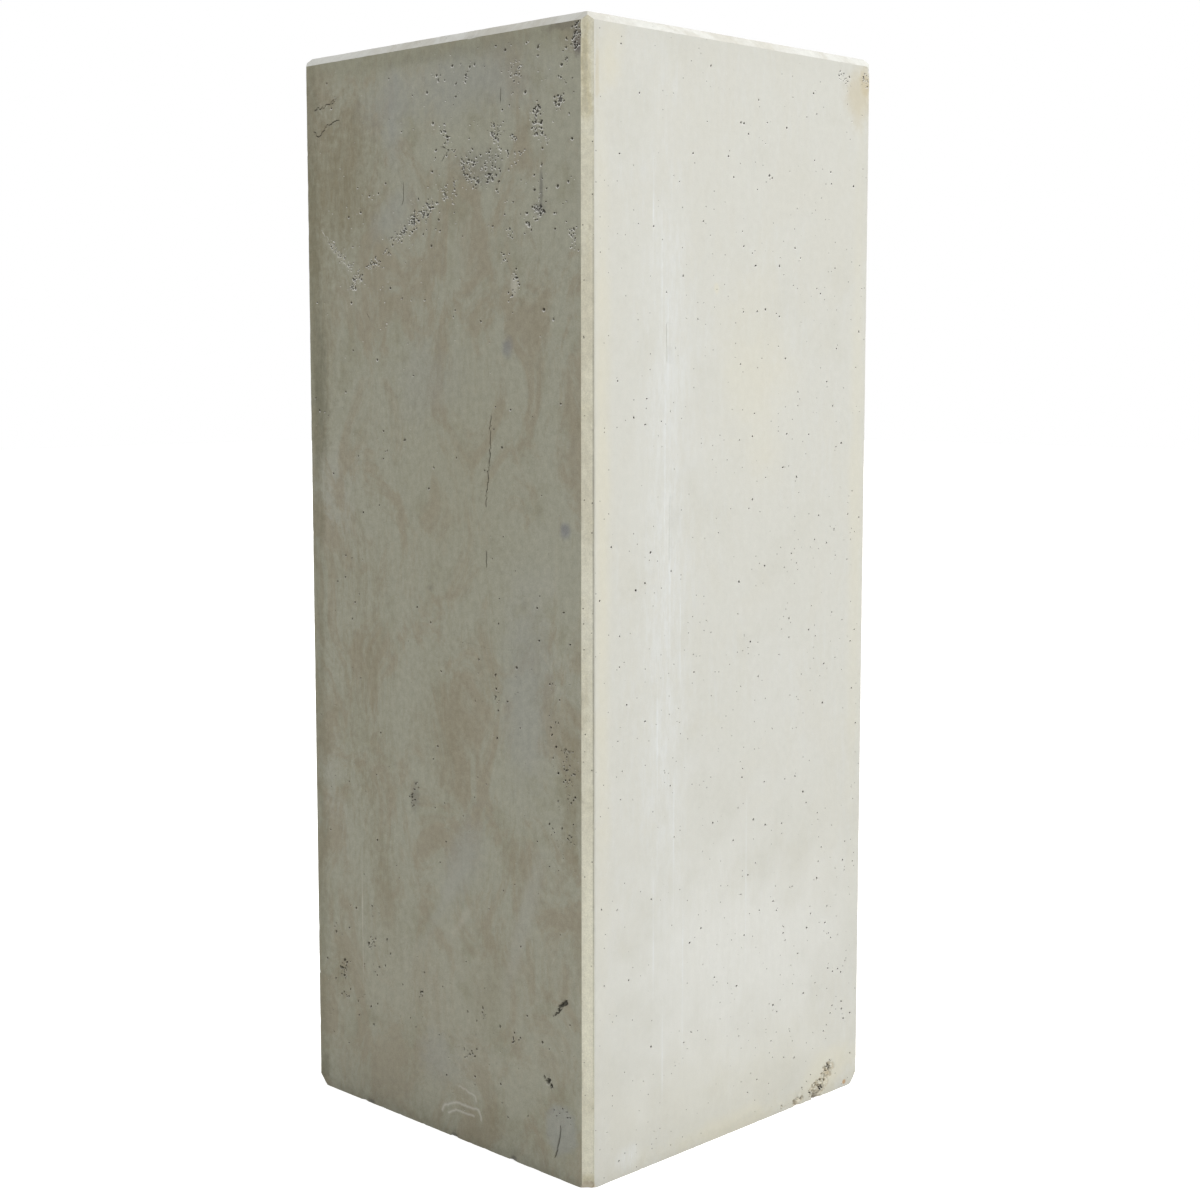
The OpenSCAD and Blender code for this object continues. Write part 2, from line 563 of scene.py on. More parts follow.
@dataclass(frozen=True)
class StonePocket:
    """A patch where the paste has left the stones bare.

    Args:
        u: the centre across the wall.
        v: the centre up the wall.
        half_u: half of its length.
        half_v: half of its width.
        angle: the length's direction, in degrees.
        depth: how far the paste has gone.
        cover: the share of the patch that is open.
        pitch: the points' distance.
    """

    u: float
    v: float
    half_u: float
    half_v: float
    angle: float = 0.0
    depth: float = 3.5 * MM
    cover: float = 0.5
    pitch: float = 3.2 * MM

    def points(self) -> np.ndarray:
        """A loose grid over the patch's oval.

        Returns:
            The points, across and up the wall.
        """
        rng = own_chance(self.u, self.v)
        grid = jitter_grid(self.half_u, self.half_v, self.pitch, rng)
        inside = (grid / (self.half_u, self.half_v)) ** 2
        grid = grid[inside.sum(1) < 1.0]
        return turned(grid, self.angle) + (self.u, self.v)

    def depth_at(self, points: np.ndarray) -> np.ndarray:
        """How far below the wall the surface lies at each point.

        Args:
            points: across and up the wall.

        Returns:
            One depth for each.
        """
        depth = np.zeros(len(points))
        flat = turned(points - (self.u, self.v), -self.angle)
        reach = ((flat / (self.half_u, self.half_v)) ** 2).sum(1)
        near = reach < 0.98
        if not near.any():
            return depth
        rng = own_chance(self.u, self.v)
        at = flat[near]
        fade = np.clip((0.82 - reach[near]) * 2.5, 0, 1)
        open_share = 0.5 + 0.5 * ripple(at, 0.011, rng)
        gone = np.clip((open_share - (1 - self.cover)) * 3, 0, 1) * fade
        stones = rng.uniform(-1, 1, (self.stone_count(), 2)) * (self.half_u, self.half_v)
        size = rng.uniform(2.5, 5.0, len(stones)) * MM
        away = np.linalg.norm(at[:, None, :] - stones[None], axis=2) / size
        bulge = np.sqrt(np.clip(1 - away**2, 0, 1)) * size
        floor = self.depth * gone * (0.75 + 0.25 * ripple(at, 0.008, rng))
        depth[near] = np.clip(floor - bulge.max(1) * 0.8 * gone, 0, None)
        return depth

    def stone_count(self) -> int:
        """One stone to each square of 11 mm."""
        area = 4 * self.half_u * self.half_v
        return max(3, int(area / (11 * MM) ** 2))


@dataclass(frozen=True)
class Groove:
    """A crack or scratch along a line of points, or a raised smear.

    Args:
        line: its corners, across and up the wall.
        width: its width.
        depth: its depth.
        wander: how far it strays from the straight line.
        highlight_and_smear_weight: how pale it is, where it is a smear.
    """

    line: tuple[Point2, ...]
    width: float = 2.0 * MM
    depth: float = 1.2 * MM
    wander: float = 1.5 * MM
    highlight_and_smear_weight: float = 0.5

    def track(self) -> np.ndarray:
        """The line's points, 4 mm apart, with its wander.

        Returns:
            The points, across and up the wall.
        """
        made = []
        for a, b in zip(self.line, self.line[1:]):
            a, b = np.array(a), np.array(b)
            count = max(2, int(np.linalg.norm(b - a) / (4 * MM)))
            made.append(a + (b - a) * np.linspace(0, 1, count, endpoint=False)[:, None])
        track = np.concatenate([*made, np.array([self.line[-1]])])
        rng = np.random.default_rng(int(track[0, 1] * 99991))
        stray = rng.normal(0, 0.5, track.shape) * self.wander
        stray[0] = stray[-1] = 0
        return track + stray

    def points(self) -> np.ndarray:
        """The line and both of its edges.

        Returns:
            The points, across and up the wall.
        """
        track = self.track()
        ahead = np.gradient(track, axis=0)
        ahead /= np.linalg.norm(ahead, axis=1)[:, None] + 1e-9
        aside = np.stack([-ahead[:, 1], ahead[:, 0]], -1) * self.width / 2
        return np.concatenate([track, track + aside, track - aside])

    def depth_at(self, points: np.ndarray) -> np.ndarray:
        """How far below the wall the surface lies at each point.

        Args:
            points: across and up the wall.

        Returns:
            One depth for each.
        """
        track = self.track()
        low, high = track.min(0) - self.width, track.max(0) + self.width
        near = ((points > low) & (points < high)).all(1)
        depth = np.zeros(len(points))
        if near.any():
            away = np.linalg.norm(points[near][:, None] - track[None], axis=2)
            share = np.clip(1 - away.min(1) / (self.width / 2), 0, 1)
            ends = np.minimum(away.argmin(1), len(track) - 1 - away.argmin(1)) / 2
            depth[near] = self.depth * share * np.clip(ends, 0, 1)
        return depth


@dataclass(frozen=True)
class Chip:
    """A broken spot on an arris, which takes away both walls beside it.

    Args:
        place: the point of the arris, in the frame.
        inward: the direction that the break goes.
        radius: its reach along the arris.
        depth: its depth.
    """

    place: Point3
    inward: Point3
    radius: float
    depth: float


def ripple(points: np.ndarray, length: float, rng: np.random.Generator) -> np.ndarray:
    """Smooth unevenness from about -1 to 1 over points in the plane or space.

    Args:
        points: one row each.
        length: the distance from crest to crest.
        rng: the source of its directions.

    Returns:
        One value for each point.
    """
    waves = 12
    ways = rng.normal(0, 1, (points.shape[1], waves))
    ways /= np.linalg.norm(ways, axis=0)
    steps = math.tau / (length * rng.uniform(0.6, 1.6, waves))
    phases = rng.uniform(0, math.tau, waves)
    return np.sin(points @ (ways * steps) + phases).sum(1) / 3.4


# --------------------------------------------------------------------------
# The skin's mesh
# --------------------------------------------------------------------------


class Side(Enum):
    """The four walls, by the quarter turns from the front."""

    FRONT = 0
    RIGHT = 1
    BACK = 2
    LEFT = 3


class Zone(Enum):
    """The skin's zones, by the place of their material on the mesh."""

    FRONT = 0
    RIGHT = 1
    BACK = 2
    LEFT = 3
    ARRIS = 4
    TOP = 5
    BASE = 6
    # The level chamfers, whose paler finish is painted light from the sky.
    CROWN = 7


@dataclass
class Skin:
    """A closed mesh made of flat patches that share the points of their edges.

    Args:
        step: how far apart the points of an edge are.
        clear: how far inner points stay from the edges.
        places: every point.
        corners: the number of the point at each corner.
        lines: the points along each edge, either way.
        triangles: the mesh's triangles, by the numbers of their points.
        zones: each triangle's zone.
    """

    step: float = 4.5 * MM
    clear: float = 1.2 * MM
    places: list[Vector] = field(default_factory=list)
    corners: dict[tuple[int, int, int], int] = field(default_factory=dict)
    lines: dict[tuple[int, int], list[int]] = field(default_factory=dict)
    triangles: list[tuple[int, int, int]] = field(default_factory=list)
    zones: list[int] = field(default_factory=list)

    def point(self, place: Vector) -> int:
        """Adds one point and returns its number."""
        self.places.append(place)
        return len(self.places) - 1

    def corner(self, place: Vector) -> int:
        """The number of the point at a corner, made once.

        Args:
            place: where it is.

        Returns:
            Its number.
        """
        key = tuple(round(x / (0.01 * MM)) for x in place)
        if key not in self.corners:
            self.corners[key] = self.point(place)
        return self.corners[key]

    def line(self, a: int, b: int) -> list[int]:
        """The points from a to just before b, shared with the patch beside.

        Args:
            a: the number of the first point.
            b: the number of the last.

        Returns:
            The numbers along it.
        """
        if (a, b) not in self.lines:
            start, end = self.places[a], self.places[b]
            count = max(1, round((end - start).length / self.step))
            between = [self.point(start.lerp(end, k / count)) for k in range(1, count)]
            self.lines[a, b] = [a, *between]
            self.lines[b, a] = [b, *reversed(between)]
        return self.lines[a, b]

    def loop(self, outline: Iterable[Vector]) -> list[int]:
        """The points all round a patch's straight edges."""
        numbers = [self.corner(place) for place in outline]
        after = numbers[1:] + numbers[:1]
        return [n for a, b in zip(numbers, after) for n in self.line(a, b)]

    def patch(
        self,
        plane: "Plane",
        outline: Sequence[Vector],
        inner: np.ndarray,
        zone: Zone,
        rings: Sequence[list[int]] = (),
    ) -> np.ndarray:
        """Fills one flat patch with triangles.

        Args:
            plane: the patch's plane, with its outward side.
            outline: its corners, anticlockwise seen from outside.
            inner: points wanted inside it, in the plane.
            zone: the finish that it takes.
            rings: round holes' points, which are left open.

        Returns:
            The numbers of the points that were added.
        """
        edge = self.loop(outline)
        flat = np.array([plane.flat(self.places[n]) for n in edge])
        turns = [np.array(plane.flat(place)) for place in outline]
        for a, b in zip(turns, turns[1:] + turns[:1]):
            along = (b - a) / np.linalg.norm(b - a)
            off = (inner[:, 1] - a[1]) * along[0] - (inner[:, 0] - a[0]) * along[1]
            inner = inner[off > self.clear]
        hoops = [np.array([plane.flat(self.places[n]) for n in r]) for r in rings]
        for hoop in hoops:
            middle = hoop.mean(0)
            radius = np.linalg.norm(hoop[0] - middle)
            inner = inner[np.linalg.norm(inner - middle, axis=1) > radius + self.clear]
        added = [self.point(plane.solid(u, v)) for u, v in inner]
        numbers = [*edge, *(n for r in rings for n in r), *added]
        spots = np.concatenate([flat, *hoops, inner])
        bounds = []
        spans = []
        start = 0
        for count in map(len, (edge, *rings)):
            bounds += [(start + k, start + (k + 1) % count) for k in range(count)]
            spans.append((start, start + count))
            start += count
        holes = spans[1:]
        _, _, faces, origin, _, _ = delaunay_2d_cdt(
            [Vector(s) for s in spots], bounds, [list(range(len(edge)))], 1, 1e-6
        )
        for face in faces:
            own = [origin[n][0] for n in face]
            if any(first <= min(own) and max(own) < end for first, end in holes):
                continue
            self.triangles.append(tuple(numbers[n] for n in own))
            self.zones.append(zone.value)
        return np.array(added, int)

    def hoop(self, middle: Vector, radius: float, count: int) -> list[int]:
        """A level ring of points, anticlockwise seen from above.

        Args:
            middle: its middle.
            radius: its radius.
            count: how many points.

        Returns:
            The points' numbers.
        """
        made = []
        for k in range(count):
            a = math.tau * k / count
            away = Vector((math.cos(a), math.sin(a), 0)) * radius
            made.append(self.point(middle + away))
        return made

    def band(self, outer: list[int], inner: list[int], zone: Zone) -> None:
        """Triangles between two rings, seen from the outer one's left.

        Args:
            outer: the outer ring's points.
            inner: the inner ring's points.
            zone: the finish that they take.
        """
        count = len(outer)
        for k in range(count):
            a, b = outer[k], outer[(k + 1) % count]
            c, d = inner[(k + 1) % count], inner[k]
            self.triangles += [(a, b, c), (a, c, d)]
            self.zones += [zone.value] * 2

    def disc(self, ring: list[int], middle: Vector, zone: Zone) -> None:
        """A fan of triangles that closes a ring, seen from above.

        Args:
            ring: the ring's points.
            middle: where the fan starts.
            zone: the finish that they take.
        """
        hub = self.point(middle)
        for a, b in zip(ring, ring[1:] + ring[:1]):
            self.triangles.append((a, b, hub))
            self.zones.append(zone.value)


@dataclass(frozen=True)
class Plane:
    """A flat patch's own axes.

    Args:
        origin: where both of its coordinates are 0.
        u: its way across.
        v: its way up, so that the cross of u and v points out.
    """

    origin: Vector
    u: Vector
    v: Vector

    @property
    def out(self) -> Vector:
        """The outward direction."""
        return self.u.cross(self.v)

    def flat(self, place: Vector) -> Point2:
        """A place in the frame, in the plane's own two coordinates."""
        away = place - self.origin
        return (away.dot(self.u), away.dot(self.v))

    def solid(self, u: float, v: float) -> Vector:
        """A place in the plane, in the frame."""
        return self.origin + self.u * u + self.v * v


# --------------------------------------------------------------------------
# The concrete block
# --------------------------------------------------------------------------


def scattered(
    rng: np.random.Generator,
    count: int,
    u: Point2,
    v: Point2,
    radius: Point2,
) -> np.ndarray:
    """Air holes strewn over a rectangle of a wall, most of them small.

    Args:
        rng: the source of chance.
        count: how many.
        u: the rectangle's ends across the wall.
        v: its ends up the wall.
        radius: the smallest and the largest radius.

    Returns:
        Rows of place across, place up and radius.
    """
    size = radius[0] + (radius[1] - radius[0]) * rng.uniform(0, 1, count) ** 2.4
    return np.stack([rng.uniform(*u, count), rng.uniform(*v, count), size], -1)


@dataclass
class WallMarks:
    """Everything that the casting and handling left in one wall.

    Args:
        seed: settles its strewn air holes.
        strewn: areas of air holes: how many, the area's ends across and up,
            and the smallest and the largest radius.
        holes: placed air holes: the place across and up, and the radius.
        swarms: its swarms of pits.
        pockets: its pockets of bare stones.
        grooves: its cracks and gouges.
        smears: its pale smears and scratches.
        sway: how far the wall strays from flat.
        foot_highlight: how strong the painted highlight on the lips is near the foot, where 1 is as
            high up.
        dark_from: the depth from which a hollow gets its full painted shade.
        filling: how far apart its loose points are.
    """

    seed: int
    strewn: tuple[tuple[int, Point2, Point2, Point2], ...]
    holes: tuple[tuple[float, float, float], ...] = ()
    swarms: tuple[PitSwarm, ...] = ()
    pockets: tuple[StonePocket, ...] = ()
    grooves: tuple[Groove, ...] = ()
    smears: tuple[Groove, ...] = ()
    sway: float = 0.5 * MM
    foot_highlight: float = 0.5
    dark_from: float = 1.6 * MM
    filling: float = 42 * MM

    def __post_init__(self) -> None:
        """Strews the air holes and settles each one's shape."""
        rng = np.random.default_rng(self.seed)
        rows = [scattered(rng, *s) for s in self.strewn]
        rows += [swarm.rows() for swarm in self.swarms]
        if self.holes:
            rows.append(np.array(self.holes))
        across, up, radii = np.concatenate(rows).T
        count = len(radii)
        # The painted lip highlight is weaker below about 1.2 m up.
        height_share = np.interp(up, (1.2, 1.6), (self.foot_highlight, 1.0))
        self.hollows = Hollows(
            centres=np.column_stack([across, up]),
            radii=radii,
            depths=radii * rng.uniform(0.9, 2.0, count),
            squash=rng.uniform(0.5, 1.0, count),
            turns=rng.uniform(0, 180, count),
            highlight_and_smear_weight=rng.uniform(0.45, 1.0, count) * height_share,
        )

    def points(self, rng: np.random.Generator, half: float, height: float) -> np.ndarray:
        """Every point that the wall's mesh needs.

        Args:
            rng: the source of the loose filling.
            half: half of the wall's width.
            height: its height.

        Returns:
            The points, across and up the wall.
        """
        loose = jitter_grid(half, height / 2, self.filling, rng) + (0, height / 2)
        rows = [loose, self.hollows.points()]
        rows += [p.points() for p in self.pockets]
        rows += [g.points() for g in (*self.grooves, *self.smears)]
        return np.concatenate(rows)

    def cut(self, points: np.ndarray) -> tuple[np.ndarray, np.ndarray]:
        """How deep the marks go at each point, and what shows there.

        Args:
            points: across and up the wall.

        Returns:
            The depths, and rows of hollowness, which the finish paints as shade, bareness, and
            painted lip highlight with pale smears, from 0 to 1.
        """
        depth = self.hollows.depth_at(points)
        for groove in self.grooves:
            depth = np.maximum(depth, groove.depth_at(points))
        # Hollowness from depth, which the finish paints as shade.
        hollow = np.clip(depth / self.dark_from, 0, 1)
        bare = np.zeros(len(points))
        for pocket in self.pockets:
            own = pocket.depth_at(points)
            bare = np.maximum(bare, np.clip(own / (0.3 * pocket.depth), 0, 1))
            hollow = np.maximum(hollow, np.clip(own / pocket.depth - 0.3, 0, 1))
            depth = np.maximum(depth, own)
        # Painted highlight on the holes' lower lips; the real pale smears join it below.
        highlight_and_smear = self.hollows.lip_highlight_at(points)
        for smear in self.smears:
            own = smear.depth_at(points)
            highlight_and_smear = np.maximum(highlight_and_smear, own / smear.depth * smear.highlight_and_smear_weight)
            depth = np.maximum(depth, own)
        return depth, np.stack([hollow, bare, highlight_and_smear], -1)


@dataclass
class ConcreteBlock:
    """The block's skin: four walls, chamfers, foot cuts, base and topside.

    Args:
        low: the block's lowest corner.
        high: its highest corner.
        marks: each wall's marks.
        chips: the broken spots along its arrises.
        sockets: the middle of each lifting socket's top.
        socket_radius: the sockets' outer radius.
        socket_depth: the sockets' height.
        socket_gap: the room left round a socket.
        chamfer: the chamfers' leg.
        foot_leg: the leg of the cut at a foot.
        recess_flare: how much wider a recess is at its mouth.
        recess_radius: a recess's radius at its floor.
        ring_count: the points round a recess.
        trowel_depth: how deep the trowel's waves on the topside go.
        worn: how far the arrises are worn.
        knocked: how much further they are knocked back in places.
        crease: the angle from which an edge looks sharp, in degrees.
        cut_feet: which corners' feet are cut, from the front left one round.
    """

    low: Vector
    high: Vector
    marks: dict[Side, WallMarks]
    chips: tuple[Chip, ...]
    sockets: tuple[Vector, ...]
    socket_radius: float
    socket_depth: float
    socket_gap: float = 0.2 * MM
    chamfer: float = 16 * MM
    foot_leg: float = 36 * MM
    recess_flare: float = 4 * MM
    recess_radius: float = 32 * MM
    ring_count: int = 48
    trowel_depth: float = 1.2 * MM
    worn: float = 0.3 * MM
    knocked: float = 0.4 * MM
    crease: float = 32.0
    cut_feet: tuple[bool, ...] = (False, True, True, True)

    @property
    def half(self) -> float:
        """Half of the block's width."""
        return (self.high.x - self.low.x) / 2

    @property
    def height(self) -> float:
        """The block's height."""
        return self.high.z - self.low.z

    def wall(self, turn: int) -> Plane:
        """The plane of the wall so many quarter turns from the front.

        Args:
            turn: the quarter turns.

        Returns:
            The plane.
        """
        a = math.radians(90 * (turn % 4))
        u = Vector((round(math.cos(a)), round(math.sin(a)), 0))
        up = Vector((0, 0, 1))
        return Plane(u.cross(up) * self.half, u, up)

    def feet(self, turn: int) -> tuple[list[Vector], list[Vector]]:
        """The foot of the corner at a wall's left hand.

        Args:
            turn: the wall's quarter turns from the front.

        Returns:
            The points at the left and at the right of the corner's chamfer,
            each from the ground up.
        """
        left, right = self.wall(turn - 1), self.wall(turn)
        near, far = self.half - self.chamfer, self.half - self.foot_leg
        if not self.cut_feet[turn % 4]:
            return [left.solid(near, 0)], [right.solid(-near, 0)]
        step = self.foot_leg - self.chamfer
        return (
            [left.solid(far, 0), left.solid(near, step)],
            [right.solid(-far, 0), right.solid(-near, step)],
        )

    def apex(self, turn: int) -> Vector:
        """The top of the chamfer at a wall's left hand.

        Args:
            turn: the wall's quarter turns from the front.

        Returns:
            The point.
        """
        near = self.half - self.chamfer
        top = self.height - self.chamfer / 2
        left, right = self.wall(turn - 1), self.wall(turn)
        return (left.solid(near, top) + right.solid(-near, top)) / 2

    def chip_points(self, plane: Plane) -> np.ndarray:
        """A fine grid wherever a broken spot crosses a plane.

        Args:
            plane: the plane.

        Returns:
            The grid's points, in the plane.
        """
        rng = np.random.default_rng(29)
        made = [np.zeros((0, 2))]
        for chip in self.chips:
            centre = Vector(chip.place)
            off = abs((centre - plane.origin).dot(plane.out))
            if off < chip.radius:
                reach = math.sqrt(chip.radius**2 - off**2)
                grid = jitter_grid(reach, reach, max(chip.radius / 6, 2.4 * MM), rng)
                grid = grid[np.linalg.norm(grid, axis=1) < reach]
                made.append(grid + plane.flat(centre))
        return np.concatenate(made)

    def build(self) -> bpy.types.Object:
        """Makes the whole skin as one closed mesh.

        Returns:
            The block's object.
        """
        skin = Skin()
        rng = np.random.default_rng(7)
        looks: Looks = {}
        self.build_walls(skin, rng, looks)
        self.build_chamfers(skin, rng)
        self.build_base(skin, rng)
        self.build_top(skin, rng)
        return self.settle(skin, looks)

    def build_walls(self, skin: Skin, rng: np.random.Generator, looks: Looks) -> None:
        """Fills the four walls and notes what their marks look like.

        Args:
            skin: the mesh that is being made.
            rng: the source of the loose filling.
            looks: takes each point's hollowness, bareness, and painted lip highlight with pale
                smears.
        """
        near = self.half - self.chamfer
        top = self.height - self.chamfer
        for side in Side:
            plane = self.wall(side.value)
            outline = [*reversed(self.feet(side.value)[1]), *self.feet(side.value + 1)[0]]
            outline += [plane.solid(near, top), plane.solid(-near, top)]
            marks = self.marks[side]
            inner = marks.points(rng, near, self.height)
            inner = np.concatenate([inner, self.chip_points(plane)])
            added = skin.patch(plane, outline, inner, Zone[side.name])
            flat = np.array([plane.flat(skin.places[n]) for n in added])
            depth, look = marks.cut(flat)
            across = near - np.abs(flat[:, 0])
            up = np.minimum(flat[:, 1], top - flat[:, 1])
            sway = (0.5 + 0.5 * ripple(flat, 0.45, rng)) * marks.sway
            sway *= np.clip(np.minimum(across, up) / 0.05, 0, 1)
            for n, d, own in zip(added, depth + sway, look):
                skin.places[n] = skin.places[n] - plane.out * d
                looks[n] = tuple(own)

    def build_chamfers(self, skin: Skin, rng: np.random.Generator) -> None:
        """Fills the upright and the level chamfers and the foot cuts.

        Args:
            skin: the mesh that is being made.
            rng: the source of the loose filling.
        """
        near = self.half - self.chamfer
        top = self.height - self.chamfer
        up = Vector((0, 0, 1))
        for turn in range(4):
            left, right = self.wall(turn - 1), self.wall(turn)
            along = (left.u + right.u).normalized()
            lefts, rights = self.feet(turn)
            outline = [lefts[-1], rights[-1], right.solid(-near, top)]
            outline += [self.apex(turn), left.solid(near, top)]
            plane = Plane((lefts[-1] + rights[-1]) / 2, along, up)
            fill = jitter_grid(self.chamfer / 2, self.height / 2, 7 * MM, rng)
            fill = np.concatenate([fill + (0, self.height / 2), self.chip_points(plane)])
            skin.patch(plane, outline, fill, Zone.ARRIS)
            if len(lefts) > 1:
                out = (left.out + right.out - up).normalized()
                facet = Plane((lefts[0] + rights[0]) / 2, along, out.cross(along))
                fill = jitter_grid(self.foot_leg, self.foot_leg, 4 * MM, rng)
                corners = [lefts[0], rights[0], rights[1], lefts[1]]
                skin.patch(facet, corners, fill, Zone.ARRIS)
            slope = Plane(right.solid(0, top), right.u, (up - right.out).normalized())
            inset = right.out * self.chamfer
            outline = [right.solid(-near, top), right.solid(near, top), self.apex(turn + 1)]
            outline += [right.solid(near, self.height) - inset]
            outline += [right.solid(-near, self.height) - inset, self.apex(turn)]
            fill = jitter_grid(near, self.chamfer, 7 * MM, rng)
            fill = np.concatenate([fill, self.chip_points(slope)])
            # The level chamfers take the crown's paler finish, which is painted light from the sky
            # above.
            skin.patch(slope, outline, fill, Zone.CROWN)

    def build_base(self, skin: Skin, rng: np.random.Generator) -> None:
        """Fills the underside.

        Args:
            skin: the mesh that is being made.
            rng: the source of the loose filling.
        """
        plane = Plane(Vector((0, 0, 0)), Vector((1, 0, 0)), Vector((0, -1, 0)))
        outline = []
        for turn in range(4):
            lefts, rights = self.feet(turn)
            outline += [lefts[0], rights[0]]
        inner = jitter_grid(self.half, self.half, 24 * MM, rng)
        inner = np.concatenate([inner, self.chip_points(plane)])
        skin.patch(plane, outline[::-1], inner, Zone.BASE)

    def build_top(self, skin: Skin, rng: np.random.Generator) -> None:
        """Fills the topside, with a recess round each lifting socket.

        Args:
            skin: the mesh that is being made.
            rng: the source of the loose filling.
        """
        near = self.half - self.chamfer
        plane = Plane(Vector((0, 0, self.height)), Vector((1, 0, 0)), Vector((0, 1, 0)))
        rings = []
        for socket in self.sockets:
            mouth = Vector((socket.x, socket.y, self.height))
            foot = socket - Vector((0, 0, self.socket_depth))
            bore = self.socket_radius + self.socket_gap
            steps = (
                (mouth, self.recess_radius + self.recess_flare),
                (mouth.lerp(socket, 0.5), self.recess_radius + 0.5 * self.recess_flare),
                (socket, self.recess_radius),
                (socket, (self.recess_radius + self.socket_radius) / 2),
                (socket, bore),
                (foot, bore),
            )
            rims = [skin.hoop(place, radius, self.ring_count) for place, radius in steps]
            for outer, inner in zip(rims, rims[1:]):
                skin.band(outer, inner, Zone.TOP)
            skin.disc(rims[-1], foot, Zone.TOP)
            rings.append(rims[0])
        signs = ((-1, -1), (1, -1), (1, 1), (-1, 1))
        corners = [plane.solid(a * near, b * near) for a, b in signs]
        inner = jitter_grid(near, near, 16 * MM, rng)
        inner = np.concatenate([inner, self.chip_points(plane)])
        added = skin.patch(plane, corners, inner, Zone.TOP, rings)
        flat = np.array([plane.flat(skin.places[n]) for n in added])
        trowel = (0.5 + 0.5 * ripple(flat, 0.12, rng)) * self.trowel_depth
        edge = near - np.abs(flat).max(1)
        trowel *= np.clip(edge / 0.04, 0, 1)
        for n, d in zip(added, trowel):
            skin.places[n] = skin.places[n] - plane.out * d

    def settle(self, skin: Skin, looks: Looks) -> bpy.types.Object:
        """Wears the arrises, breaks out the chips and makes the object.

        Args:
            skin: the mesh that has been filled.
            looks: each wall point's hollowness, bareness, and painted lip highlight with pale
                smears.

        Returns:
            The block's object.
        """
        places = np.array([tuple(p) for p in skin.places])
        layers = np.zeros((len(places), 3))
        layers[list(looks)] = list(looks.values())
        hollow, stone, highlight_and_smear = layers.T
        rng = np.random.default_rng(11)
        edges = np.array(sorted({n for line in skin.lines.values() for n in line}))
        inward = self.inward(places[edges])
        wear = np.clip(0.25 + 0.5 * ripple(places[edges], 0.03, rng), 0, 1) * self.worn
        wear += np.clip(ripple(places[edges], 0.07, rng) - 0.5, 0, 1) * self.knocked
        places[edges] += inward * wear[:, None]
        rough = 0.72 + 0.28 * ripple(places, 0.009, rng)
        for chip in self.chips:
            away = np.linalg.norm(places - chip.place, axis=1) / chip.radius
            share = np.clip(1 - away**2, 0, 1) ** 0.6
            push = np.array(Vector(chip.inward).normalized())
            places += push * (share * rough * chip.depth)[:, None]
            # Deep chips count as hollow, so the finish paints shade in them.
            hollow = np.maximum(hollow, np.clip(share * chip.depth / (12 * MM), 0, 0.6))
            stone = np.maximum(stone, np.clip(share * 2, 0, 1) * (chip.depth > 3 * MM))
        places = np.clip(places, np.array(self.low), np.array(self.high))
        mesh = bpy.data.meshes.new("concrete_skin")
        mesh.from_pydata([tuple(p) for p in places], [], skin.triangles)
        mesh.polygons.foreach_set("material_index", skin.zones)
        mesh.polygons.foreach_set("use_smooth", [True] * len(skin.triangles))
        for name, values in (("hollow", hollow), ("stone", stone), ("highlight_and_smear", highlight_and_smear)):
            layer = mesh.attributes.new(name, "FLOAT", "POINT")
            layer.data.foreach_set("value", values.astype(np.float32))
        mesh.set_sharp_from_angle(angle=math.radians(self.crease))
        mesh.validate()
        block = bpy.data.objects.new("concrete_skin", mesh)
        bpy.context.scene.collection.objects.link(block)
        return block

    def dress(self, skin: bpy.types.Object) -> None:
        """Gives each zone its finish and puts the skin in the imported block's place.

        Args:
            skin: the block's object.
        """
        finishes = block_finishes()
        for zone in Zone:
            skin.data.materials.append(finishes[zone].make(self.height))
        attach(skin, BODY)
        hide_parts(BLOCK_NODE)

    def inward(self, places: np.ndarray) -> np.ndarray:
        """The direction from each arris point into the block.

        Args:
            places: the points.

        Returns:
            One unit vector for each.
        """
        away = places - (self.low + self.high) / 2
        away[:, 2] *= self.half * 2 / self.height
        edge = self.half * 0.9
        way = -np.sign(away) * (np.abs(away) > edge)
        return way / (np.linalg.norm(way, axis=1)[:, None] + 1e-9)


# --------------------------------------------------------------------------
# Finishes
# --------------------------------------------------------------------------


@dataclass(frozen=True)
class Stain:
    """A soft patch of another tone on a wall.

    Args:
        u: its middle across the wall.
        v: its middle up the wall.
        half_u: half of its width.
        half_v: half of its height.
        tone: its colour.
        share: how much of that colour shows.
        ragged: how far its edge wanders, as a share of its size.
        soft: how wide its edge fades, as a share of its size.
        angle: its turn, in degrees.
        streaky: how much upright streaks break it up.
    """

    u: float
    v: float
    half_u: float
    half_v: float
    tone: Colour
    share: float = 0.5
    ragged: float = 0.7
    soft: float = 0.7
    angle: float = 0.0
    streaky: float = 0.5


